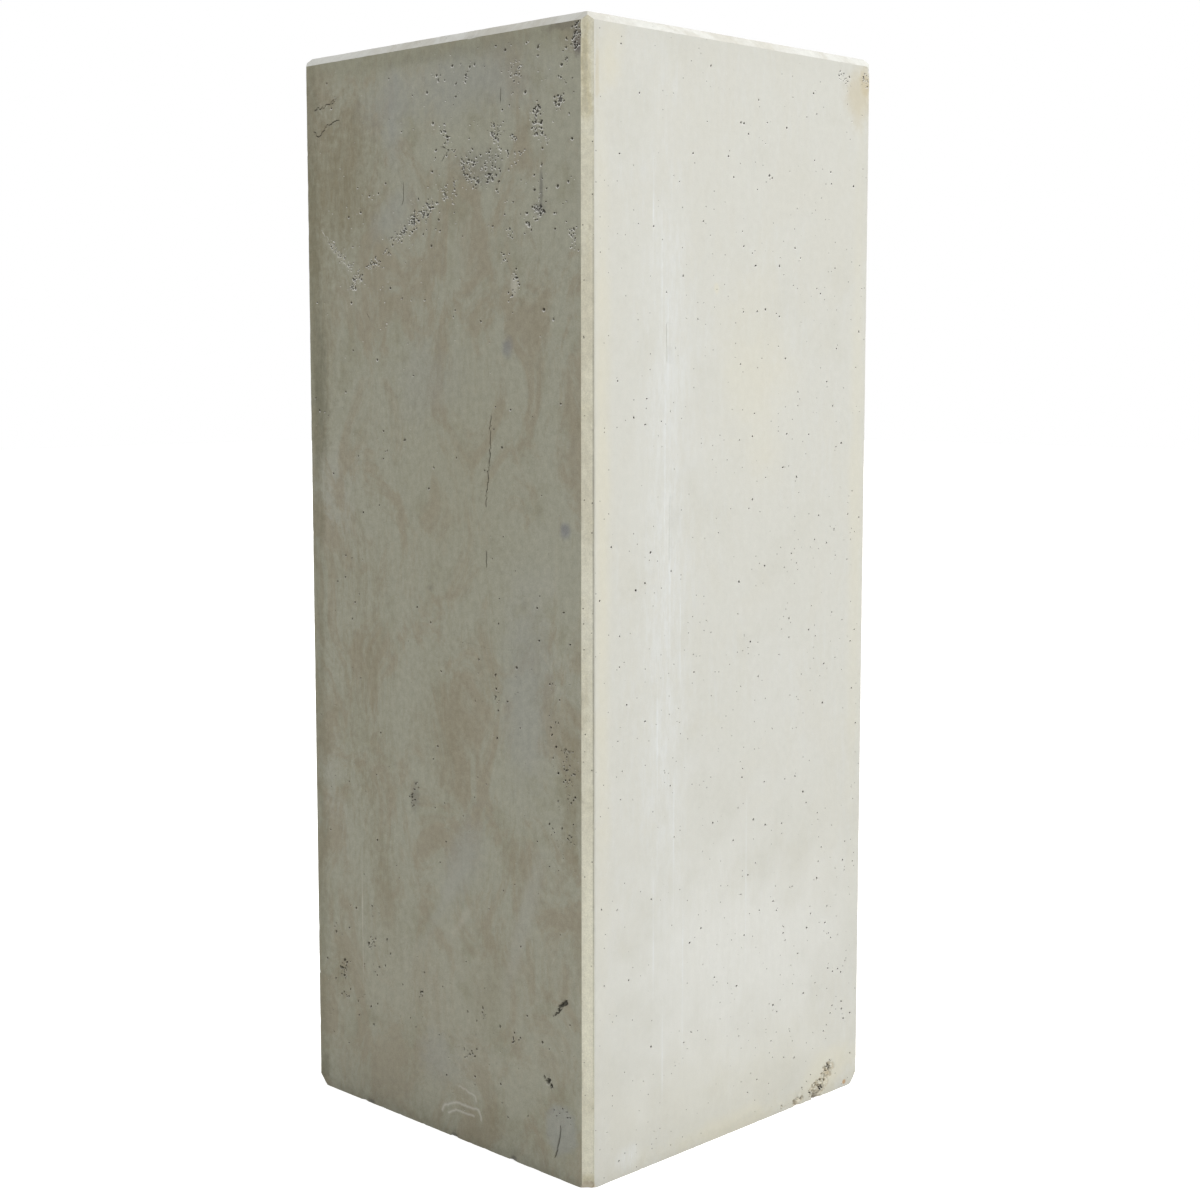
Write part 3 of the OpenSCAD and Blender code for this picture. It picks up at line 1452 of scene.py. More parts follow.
@dataclass(frozen=True)
class ConcreteFinish:
    """Cast concrete for one zone of the block.

    Args:
        name: the material's name.
        across: the frame's direction that runs across the zone.
        paste: the main tone.
        pale: the tone of its lighter clouds.
        dark: the tone of its darker clouds.
        streak: the tone of its upright streaks.
        streak_share: how strong the streaks are.
        cloud_share: how strong the clouds are.
        stains: its placed stains.
        foot_dirt: how dark its foot is.
        top_dirt: how dark its top edge is.
        seed: keeps its pattern from matching the others.
        pin_hole_shade_share: how strong the painted shade in its pin holes is.
        speck_start: how few of them there are, up to 1.
        warm: the tone of its torn warm clouds.
        warm_share: how strong those are.
        grain_share: how strong its sandy grain is.
        relief: the height of its grain.
        pit_shade_share: how strong the painted shade inside its air holes, chips and stone crevices
            is.
        pit_shade_tone: the tone of the painted shade inside them and in its pin holes.
        highlight_and_smear_share: how strong the painted highlight on its holes' lower lips is, and
            how strongly its pale smears show.
        highlight_and_smear_tone: the tone of that painted highlight and of the pale smears.
        foot_tone: the tone of the dirt at its foot.
        stone_low: the tone of its darkest stones.
        stone_high: the tone of its palest stones.
    """

    name: str
    across: Point3
    paste: Colour
    pale: Colour
    dark: Colour
    streak: Colour
    streak_share: float = 0.3
    cloud_share: float = 0.5
    stains: tuple[Stain, ...] = ()
    foot_dirt: float = 0.0
    top_dirt: float = 0.0
    seed: float = 0.0
    pin_hole_shade_share: float = 0.35
    speck_start: float = 0.98
    warm: Colour = (0.36, 0.315, 0.22)
    warm_share: float = 0.25
    grain_share: float = 1.0
    relief: float = 0.7 * MM
    pit_shade_share: float = 0.55
    pit_shade_tone: Colour = (0.05, 0.045, 0.035)
    highlight_and_smear_share: float = 0.5
    highlight_and_smear_tone: Colour = (0.78, 0.775, 0.72)
    foot_tone: Colour = (0.14, 0.13, 0.09)
    stone_low: Colour = (0.30, 0.24, 0.16)
    stone_high: Colour = (0.60, 0.56, 0.46)

    def make(self, height: float) -> bpy.types.Material:
        """Builds the material.

        Args:
            height: the block's height.

        Returns:
            The material.
        """
        return ConcretePaint(self, height).material()


class ConcretePaint:
    """Lays one zone's finish on its material, a layer at a time.

    Each layer changes the colour, and the noises are shared by all of them.
    """

    def __init__(self, finish: ConcreteFinish, height: float) -> None:
        """Reads the place and makes the noises.

        Args:
            finish: the zone's finish.
            height: the block's height.
        """
        self.own = finish
        self.height = height
        self.bench = bench = Surface(finish.name)
        place = bench.signal("ShaderNodeTexCoord", "Object")
        run = bench.dot(place, finish.across)
        self.rise = bench.dot(place, (0, 0, 1))
        flat = {"X": run, "Y": self.rise}
        self.wall = bench.signal("ShaderNodeCombineXYZ", "Vector", None, flat)
        shift = (finish.seed * 3.7, finish.seed * 1.9, finish.seed)
        self.grain = bench.stretch(place, (1, 1, 1), shift)
        lines = bench.noise(bench.stretch(place, (80, 80, 14), shift), 1.0, 4, 0.6)
        threads = bench.noise(bench.stretch(place, (300, 300, 60), shift), 1.0, 3, 0.6)
        self.torn = bench.noise(bench.stretch(place, (8, 8, 5), shift), 1.0, 8, 0.68, 0.8)
        self.cloud = bench.noise(self.grain, 2.6, 6, 0.6)
        self.patchy = bench.noise(self.grain, 9.0, 5, 0.6)
        self.fine = bench.noise(self.grain, 70.0, 5, 0.65)
        self.sand = bench.noise(self.grain, 420.0, 3, 0.6)
        self.upright = lines * 0.6 + threads * 0.4
        self.fray = (self.patchy - 0.5) * 2.2 + (self.fine - 0.5) * 0.8
        self.breaks = bench.smooth(self.upright, 0.40, 0.60)
        self.colour: Signal | Colour = finish.paste

    def cover(self, share: Signal | float, tone: Signal | Colour) -> None:
        """Lays a tone over the colour."""
        self.colour = self.bench.blend(share, self.colour, tone)

    def material(self) -> bpy.types.Material:
        """Lays every layer in order.

        Returns:
            The finished material.
        """
        bench, own = self.bench, self.own
        self.lay_clouds()
        for stain in own.stains:
            self.lay_stain(stain)
        self.lay_dirt()
        self.lay_grain()
        # Painted shade: pin holes too small to cut are darkened.
        pin_holes = self.pin_holes()
        self.cover(pin_holes * own.pin_hole_shade_share, own.pit_shade_tone)
        stone = bench.made_by_mesh("stone")
        self.lay_stones(stone)
        # Painted highlight on the holes' lower lips, together with the real pale smears.
        highlight_and_smear = bench.smooth(bench.made_by_mesh("highlight_and_smear"), 0.1, 0.8)
        self.cover(highlight_and_smear * own.highlight_and_smear_share, own.highlight_and_smear_tone)
        # Painted shade: hollows, chips and bare-stone crevices are darkened by their depth.
        hollow = bench.smooth(bench.made_by_mesh("hollow"), 0.2, 0.85)
        self.cover(hollow * own.pit_shade_share, own.pit_shade_tone)
        height = self.fine * 0.35 + self.sand * 0.3 + self.patchy * 0.35 - pin_holes * 0.8
        rough = self.patchy * 0.16 + 0.68 + stone * 0.1
        normal = bench.bump(height, own.relief)
        return bench.finish(self.colour, rough, normal, Specular_IOR_Level=0.35)

    def lay_clouds(self) -> None:
        """Pale, dark and torn warm clouds, and the streaks that the form left."""
        bench, own = self.bench, self.own
        self.cover(bench.smooth(self.cloud, 0.52, 0.75) * own.cloud_share, own.pale)
        self.cover(bench.smooth(self.patchy, 0.5, 0.75) * own.cloud_share, own.dark)
        self.cover(bench.smooth(self.torn, 0.46, 0.60) * own.warm_share, own.warm)
        runs = bench.smooth(self.upright, 0.47, 0.66)
        band = bench.smooth(bench.noise(self.grain, 3.3, 3, 0.5), 0.35, 0.62)
        self.cover(runs * band * own.streak_share, own.streak)

    def lay_stain(self, stain: Stain) -> None:
        """One stain, with its edge frayed and its middle broken by streaks.

        Args:
            stain: the stain.
        """
        bench = self.bench
        local = bench.signal(
            "ShaderNodeMapping",
            "Vector",
            {"vector_type": "TEXTURE"},
            {
                "Vector": self.wall,
                "Location": (stain.u, stain.v, 0),
                "Rotation": (0, 0, math.radians(stain.angle)),
                "Scale": (stain.half_u, stain.half_v, 1),
            },
        )
        length = {"operation": "LENGTH"}
        reach = bench.signal("ShaderNodeVectorMath", "Value", length, {"Vector": local})
        reach = reach + self.fray * stain.ragged
        share = bench.smooth(reach, 1.0 + 0.15 * stain.soft, 1 - stain.soft) * stain.share
        if stain.streaky:
            share = share * (self.breaks * stain.streaky + (1 - stain.streaky))
        self.cover(share, stain.tone)

    def lay_dirt(self) -> None:
        """Splashed dirt along the foot and a dull line under the top arris."""
        bench, own = self.bench, self.own
        uneven = self.rise + (self.patchy - 0.5) * 0.05 + (self.fine - 0.5) * 0.03
        if own.foot_dirt:
            low = 1 - bench.smooth(uneven, 0.0, 28 * MM)
            wide = 1 - bench.smooth(uneven, 0.0, 110 * MM)
            self.cover((low * 0.75 + wide * 0.25) * own.foot_dirt, own.foot_tone)
        if own.top_dirt:
            high = bench.smooth(uneven, self.height - 75 * MM, self.height - 18 * MM)
            self.cover(high * own.top_dirt, own.dark)

    def lay_grain(self) -> None:
        """Sandy unevenness, lighter and darker about the colour."""
        spread = self.own.grain_share
        light = self.fine * (0.5 * spread) + self.sand * (0.45 * spread) + (1 - 0.475 * spread)
        self.colour = self.bench.shade(self.colour, light)

    def pin_holes(self) -> Signal:
        """Holes about a millimetre across, too small to cut.

        Returns:
            1 inside a pin hole and 0 outside it.
        """
        away, pick = self.bench.cells(self.grain, 95.0, "Red")
        start = self.own.speck_start
        chosen = self.bench.smooth(pick + self.patchy * 0.35, start, start + 0.08)
        return (1 - self.bench.smooth(away, 0.08, 0.15)) * chosen

    def lay_stones(self, stone: Signal) -> None:
        """The stones that show where the mesh says that the paste has gone."""
        _, pick = self.bench.cells(self.grain, 130.0, "Green")
        tone = self.bench.blend(pick, self.own.stone_low, self.own.stone_high)
        self.cover(self.bench.smooth(stone, 0.2, 0.9) * 0.7, tone)


@dataclass(frozen=True)
class CastInFinish:
    """A finish for the steel, wire, plastic and mortar cast into the block.

    Args:
        name: the material's name.
        base: the main tone.
        worn: the tone that shows through it.
        share: how much of the worn tone shows.
        scale: how fine its pattern is, to the metre.
        rough: its least roughness.
        spread: how much rougher it gets.
        relief: the height of its bumps.
        metal: how metallic it is.
    """

    name: str
    base: Colour
    worn: Colour
    share: float = 0.5
    scale: float = 140.0
    rough: float = 0.5
    spread: float = 0.3
    relief: float = 0.2 * MM
    metal: float = 0.0

    def make(self) -> bpy.types.Material:
        """Builds the material.

        Returns:
            The material.
        """
        bench = Surface(self.name)
        place = bench.signal("ShaderNodeTexCoord", "Object")
        broad = bench.noise(place, self.scale * 0.25, 4)
        close = bench.noise(place, self.scale, 5, 0.65)
        grit = bench.noise(place, self.scale * 6, 3)
        mask = bench.smooth(broad * 0.5 + close * 0.5, 0.42, 0.62) * self.share
        colour = bench.blend(mask, self.base, self.worn)
        colour = bench.shade(colour, close * 0.4 + grit * 0.3 + 0.65)
        rough = mask * self.spread + grit * 0.1 + self.rough
        normal = bench.bump(close * 0.6 + grit * 0.4, self.relief)
        if self.metal:
            bench.plug(bench.shader, "Metallic", (1 - mask) * self.metal)
        return bench.finish(colour, rough, normal)


# --------------------------------------------------------------------------
# This block's own marks and tones
# --------------------------------------------------------------------------

OLIVE_BROWN: Colour = (0.285, 0.252, 0.165)
BLUE_GREY: Colour = (0.375, 0.38, 0.345)
SLATE: Colour = (0.25, 0.255, 0.265)
DARK_PURPLE: Colour = (0.13, 0.11, 0.115)
DAMP: Colour = (0.19, 0.185, 0.13)
SMEAR: Colour = (0.56, 0.545, 0.46)
OCHRE: Colour = (0.50, 0.445, 0.28)
TAN: Colour = (0.47, 0.41, 0.28)
CHALK: Colour = (0.64, 0.66, 0.665)
CREAM: Colour = (0.59, 0.56, 0.44)
# A dark grey for real soot stains, and also for painted shade in the broken spots at the foot.
SOOT_AND_SHADE: Colour = (0.20, 0.195, 0.17)
ASH: Colour = (0.43, 0.43, 0.37)

# Lines across and up a wall: two gouges, a smear that was wiped on in three
# strokes, and a long scratch.
UPPER_GOUGE = ((-0.365, 1.976), (-0.325, 1.982), (-0.288, 1.993))
LOWER_GOUGE = ((-0.365, 1.936), (-0.345, 1.926), (-0.318, 1.946), (-0.280, 1.954))
SMEAR_LOW = (
    (-0.005, 0.036),
    (0.005, 0.054),
    (0.040, 0.070),
    (0.080, 0.070),
    (0.106, 0.072),
    (0.116, 0.046),
)
SMEAR_HIGH = ((0.010, 0.040), (0.040, 0.055), (0.075, 0.055), (0.099, 0.057))
SMEAR_TAIL = ((0.041, 0.106), (0.066, 0.102), (0.095, 0.096), (0.100, 0.079))
SCRATCH = ((-0.348, 1.749), (-0.312, 1.719), (-0.258, 1.664), (-0.214, 1.635))

# Thin chalky runs down the front: the middle across and up, and half the length.
CHALK_RUNS = (
    (-0.212, 1.62, 0.16),
    (-0.203, 1.30, 0.22),
    (-0.196, 1.52, 0.10),
    (-0.188, 1.05, 0.30),
    (-0.221, 0.80, 0.25),
    (-0.176, 0.62, 0.20),
    (-0.160, 0.98, 0.14),
    (-0.235, 1.75, 0.10),
    (-0.150, 0.35, 0.22),
    (-0.230, 0.42, 0.18),
    (-0.205, 0.20, 0.12),
    (0.030, 0.50, 0.20),
)


def left_marks() -> WallMarks:
    """The rough, much handled wall on the left.

    Returns:
        The wall's marks.
    """
    return WallMarks(
        seed=3,
        strewn=(
            (330, (-0.37, 0.37), (0.03, 2.05), (0.9 * MM, 3.4 * MM)),
            (130, (-0.02, 0.37), (1.72, 2.05), (1.2 * MM, 4.4 * MM)),
            (60, (-0.26, 0.02), (1.60, 1.82), (1.0 * MM, 3.4 * MM)),
            (70, (0.30, 0.38), (0.56, 0.92), (0.8 * MM, 3.4 * MM)),
            (50, (-0.37, -0.15), (0.15, 0.42), (0.8 * MM, 3.6 * MM)),
            (40, (-0.10, 0.25), (0.08, 0.32), (0.8 * MM, 3.2 * MM)),
        ),
        holes=(
            (0.290, 1.577, 4.2 * MM),
            (0.315, 1.560, 3.6 * MM),
            (0.203, 1.400, 3.0 * MM),
            (0.332, 1.412, 3.0 * MM),
            (0.055, 1.309, 2.6 * MM),
            (0.159, 0.914, 4.0 * MM),
            (0.216, 0.933, 3.4 * MM),
            (0.161, 0.888, 3.2 * MM),
            (0.166, 0.848, 3.0 * MM),
            (0.167, 0.250, 3.6 * MM),
            (0.203, 0.234, 3.0 * MM),
            (0.281, 0.247, 3.4 * MM),
            (0.081, 0.175, 3.0 * MM),
            (0.095, 0.135, 3.0 * MM),
            (0.296, 0.177, 7.5 * MM),
            (0.305, 0.171, 5.0 * MM),
            (0.287, 0.183, 4.5 * MM),
            (0.334, 0.331, 5.5 * MM),
            (0.342, 0.337, 5.0 * MM),
            (0.325, 0.318, 4.0 * MM),
            (0.317, 0.308, 2.8 * MM),
            (-0.020, 1.980, 3.6 * MM),
            (0.060, 1.965, 3.4 * MM),
        ),
        swarms=(
            PitSwarm(0.374, 2.040, 0.010, 0.026, 0, 70, 2.6 * MM),
            PitSwarm(0.125, 1.832, 0.062, 0.032, 0, 150, 3.0 * MM),
            PitSwarm(0.168, 1.890, 0.012, 0.045, 0, 55, 2.8 * MM),
            PitSwarm(0.215, 1.855, 0.020, 0.030, 0, 30, 2.8 * MM),
            PitSwarm(0.280, 1.900, 0.016, 0.065, 6, 80, 3.2 * MM),
            PitSwarm(0.335, 1.960, 0.012, 0.070, -22, 45, 2.8 * MM),
            PitSwarm(0.230, 2.010, 0.030, 0.030, 0, 30, 2.6 * MM),
            PitSwarm(0.075, 2.000, 0.025, 0.015, 0, 14, 2.6 * MM),
            PitSwarm(0.280, 1.748, 0.024, 0.010, 0, 40, 3.2 * MM),
            PitSwarm(0.252, 1.724, 0.008, 0.008, 0, 12, 3.6 * MM),
            PitSwarm(0.045, 1.890, 0.030, 0.030, 30, 30, 3.2 * MM),
            PitSwarm(-0.060, 1.745, 0.085, 0.016, 26, 190, 2.8 * MM),
            PitSwarm(0.045, 1.795, 0.050, 0.022, 30, 45, 2.6 * MM),
            PitSwarm(-0.165, 1.683, 0.050, 0.012, 30, 50, 2.6 * MM),
            PitSwarm(-0.225, 1.645, 0.035, 0.014, 37, 40, 2.8 * MM),
            PitSwarm(0.200, 1.690, 0.016, 0.040, 0, 22, 2.6 * MM),
            PitSwarm(0.215, 1.622, 0.010, 0.026, 0, 24, 2.6 * MM),
            PitSwarm(0.362, 1.690, 0.014, 0.022, 0, 26, 2.6 * MM),
            PitSwarm(-0.073, 0.650, 0.008, 0.032, 0, 26, 3.0 * MM),
            PitSwarm(-0.300, 0.265, 0.008, 0.034, 0, 36, 3.4 * MM),
            PitSwarm(-0.218, 0.325, 0.008, 0.014, 0, 16, 3.0 * MM),
            PitSwarm(-0.295, 0.204, 0.006, 0.008, 0, 9, 3.0 * MM),
            PitSwarm(0.300, 0.180, 0.012, 0.008, 0, 9, 3.0 * MM),
            PitSwarm(0.205, 0.236, 0.008, 0.008, 0, 10, 3.0 * MM),
            PitSwarm(0.120, 0.265, 0.020, 0.008, 0, 10, 2.6 * MM),
            PitSwarm(0.080, 0.170, 0.014, 0.012, 0, 12, 2.6 * MM),
            PitSwarm(-0.060, 0.262, 0.010, 0.008, 0, 12, 2.6 * MM),
            PitSwarm(0.330, 0.128, 0.030, 0.010, 0, 14, 2.6 * MM),
            PitSwarm(0.352, 0.740, 0.018, 0.120, 0, 60, 2.4 * MM),
            PitSwarm(0.165, 0.880, 0.010, 0.030, 0, 10, 2.6 * MM),
            PitSwarm(-0.285, 1.695, 0.070, 0.006, -37, 60, 2.0 * MM),
        ),
        grooves=(
            Groove(UPPER_GOUGE, 4.0 * MM, 2.4 * MM, 3.5 * MM),
            Groove(LOWER_GOUGE, 4.0 * MM, 2.4 * MM, 3.0 * MM),
            Groove(((-0.091, 1.826), (-0.090, 1.790), (-0.098, 1.775)), 3 * MM, 1.6 * MM, 1.0 * MM),
            Groove(((0.181, 1.974), (0.181, 1.939)), 3.0 * MM, 1.6 * MM, 0.5 * MM),
            Groove(((0.173, 1.914), (0.173, 1.888)), 3.0 * MM, 1.6 * MM, 0.5 * MM),
            Groove(((0.015, 1.880), (0.040, 1.872), (0.018, 1.850)), 3.0 * MM, 2.0 * MM, 1.0 * MM),
            Groove(((0.150, 1.392), (0.146, 1.310), (0.134, 1.218)), 4.0 * MM, 2.4 * MM, 2.5 * MM),
            Groove(((0.136, 1.145), (0.136, 1.108)), 4.0 * MM, 2.4 * MM, 1.5 * MM),
            Groove(((-0.207, 1.584), (-0.192, 1.564)), 3.0 * MM, 1.2 * MM, 0.8 * MM),
            Groove(((0.048, 0.968), (0.140, 0.960), (0.227, 0.966)), 2.0 * MM, 0.5 * MM, 1.0 * MM),
            Groove(((0.308, 0.300), (0.322, 0.312), (0.334, 0.324)), 6.0 * MM, 4.0 * MM, 2.0 * MM),
            Groove(((0.322, 0.320), (0.336, 0.330), (0.350, 0.336)), 9.0 * MM, 8.0 * MM, 2.0 * MM),
            Groove(((0.330, 0.105), (0.325, 0.075), (0.314, 0.034)), 4.6 * MM, 3.0 * MM, 1.6 * MM),
        ),
        smears=(
            Groove(SMEAR_LOW, 14.0 * MM, 0.2 * MM, 1.0 * MM, 0.42),
            Groove(SMEAR_HIGH, 12.0 * MM, 0.2 * MM, 1.0 * MM, 0.42),
            Groove(SMEAR_TAIL, 12.0 * MM, 0.2 * MM, 1.0 * MM, 0.38),
            Groove(SCRATCH, 4.0 * MM, 0.4 * MM, 6.0 * MM, 0.5),
        ),
    )


def front_marks() -> WallMarks:
    """The smooth wall that was cast against the clean form.

    Returns:
        The wall's marks.
    """
    return WallMarks(
        seed=5,
        strewn=(
            (190, (-0.37, 0.37), (0.02, 2.04), (1.3 * MM, 3.0 * MM)),
            (130, (0.00, 0.37), (0.05, 2.00), (1.7 * MM, 3.3 * MM)),
            (30, (0.10, 0.37), (0.05, 0.50), (1.6 * MM, 3.0 * MM)),
        ),
        holes=(
            (0.202, 0.640, 3.2 * MM),
            (-0.278, 1.079, 3.0 * MM),
            (-0.254, 1.090, 2.6 * MM),
            (-0.284, 1.387, 2.8 * MM),
            (-0.251, 1.420, 2.4 * MM),
        ),
        swarms=(
            PitSwarm(0.292, 0.056, 0.014, 0.008, 30, 14, 2.6 * MM),
            PitSwarm(0.245, 0.016, 0.050, 0.006, 3, 24, 2.8 * MM),
            PitSwarm(0.310, 2.035, 0.022, 0.010, 0, 26, 2.0 * MM),
            PitSwarm(0.372, 2.035, 0.006, 0.018, 0, 26, 2.4 * MM),
        ),
        pockets=(
            StonePocket(0.290, 0.048, 0.026, 0.021, 20, 6.0 * MM, 0.85, 2.2 * MM),
            StonePocket(0.262, 0.021, 0.036, 0.021, 10, 7.0 * MM, 0.85, 2.2 * MM),
            StonePocket(0.196, 0.010, 0.022, 0.010, 5, 6.0 * MM, 0.85, 2.2 * MM),
            StonePocket(0.146, 0.009, 0.012, 0.006, 5, 4.0 * MM, 0.8, 2.2 * MM),
        ),
        grooves=(
            Groove(((-0.200, 1.560), (-0.200, 1.480)), 2.0 * MM, 0.7 * MM, 0.3 * MM),
            Groove(((-0.190, 1.250), (-0.192, 1.120)), 2.0 * MM, 0.5 * MM, 0.3 * MM),
        ),
    )


def plain_marks(seed: int, coarse: float) -> WallMarks:
    """A wall at the back, with marks of the same kinds strewn over it.

    Args:
        seed: settles where they fall.
        coarse: how rough the wall is, from 0 to 1.

    Returns:
        The wall's marks.
    """
    rng = np.random.default_rng(seed)
    swarms = []
    for _ in range(4 + round(10 * coarse)):
        u, v = rng.uniform(-0.32, 0.32), rng.choice([0.12, 0.5, 1.35, 1.75]) + rng.normal(0, 0.08)
        long = rng.uniform(0.014, 0.06)
        thin = long * rng.uniform(0.2, 0.7)
        turn = rng.uniform(-40, 40)
        count = 12 + round(long * 900)
        swarms.append(PitSwarm(u, max(0.08, v), long, thin, turn, count))
    grooves = []
    for _ in range(3 + round(4 * coarse)):
        u, v = rng.uniform(-0.33, 0.33), rng.uniform(0.2, 1.9)
        ends = ((u, v), (u + rng.normal(0, 0.01), v - rng.uniform(0.03, 0.12)))
        grooves.append(Groove(ends, 2.4 * MM, 1.2 * MM, 1.0 * MM))
    count = round(260 + 160 * coarse)
    strewn = (
        (count, (-0.37, 0.37), (0.02, 2.04), (0.8 * MM, 3.0 * MM)),
        (80, (-0.30, 0.10), (1.3, 2.0), (0.8 * MM, 3.6 * MM)),
    )
    return WallMarks(seed, strewn, swarms=tuple(swarms), grooves=tuple(grooves))


def arris_chips(half: float, height: float, chamfer: float) -> tuple[Chip, ...]:
    """The broken spots along the arrises, some placed and some strewn.

    Args:
        half: half of the block's width.
        height: its height.
        chamfer: its chamfer's leg.

    Returns:
        The chips.
    """
    rng = np.random.default_rng(17)
    near = half - chamfer
    chips = [
        Chip((half - 0.004, -half + 0.004, 0.012), (-1, 1, 1), 0.018, 2.5 * MM),
        Chip((0.252, -half, 0.0), (0, 1, 0.1), 0.014, 7 * MM),
        Chip((0.191, -half, 0.0), (0, 1, 0.1), 0.009, 4 * MM),
        Chip((-half + 0.008, -half + 0.008, 0.0), (1, 1, 1), 0.015, 4 * MM),
        Chip((-half + 0.002, -near - 0.002, height - 0.040), (1, 0.4, 0), 0.010, 2 * MM),
        Chip((-half + 0.008, -half + 0.008, height - 0.365), (1, 1, 0), 0.006, 2.4 * MM),
        Chip((-half, -0.034, 0.0), (1, 0, 1), 0.009, 3 * MM),
        Chip((-half, 0.240, 0.0), (1, 0, 1), 0.008, 2 * MM),
        Chip((-half, -0.200, 0.0), (1, 0, 1), 0.009, 3 * MM),
        Chip((-half, -0.10, height - chamfer), (1, 0, -0.6), 0.008, 2.0 * MM),
        Chip((near, -half, height - chamfer - 0.004), (-1, 1, -1), 0.010, 3 * MM),
    ]
    for _ in range(64):
        turn = rng.integers(0, 4)
        along = rng.uniform(-near, near)
        largest = 6 if turn in (Side.FRONT.value, Side.LEFT.value) else 13
        reach = rng.uniform(3, largest) * MM
        depth = reach * rng.uniform(0.12, 0.26)
        kind = rng.choice(["foot", "upright", "top"], p=[0.45, 0.35, 0.2])
        spots = {
            "foot": ((along, -half, 0.0), (0, 1, 0.6)),
            "upright": ((-near, -half, rng.uniform(0.05, height - 0.05)), (0.6, 1, 0)),
            "top": ((along, -half, height - chamfer), (0, 1, -0.8)),
        }
        place, way = (Vector(x) for x in spots[kind])
        for _ in range(turn):
            place = Vector((-place.y, place.x, place.z))
            way = Vector((-way.y, way.x, way.z))
        chips.append(Chip(tuple(place), tuple(way), reach, depth))
    return tuple(chips)


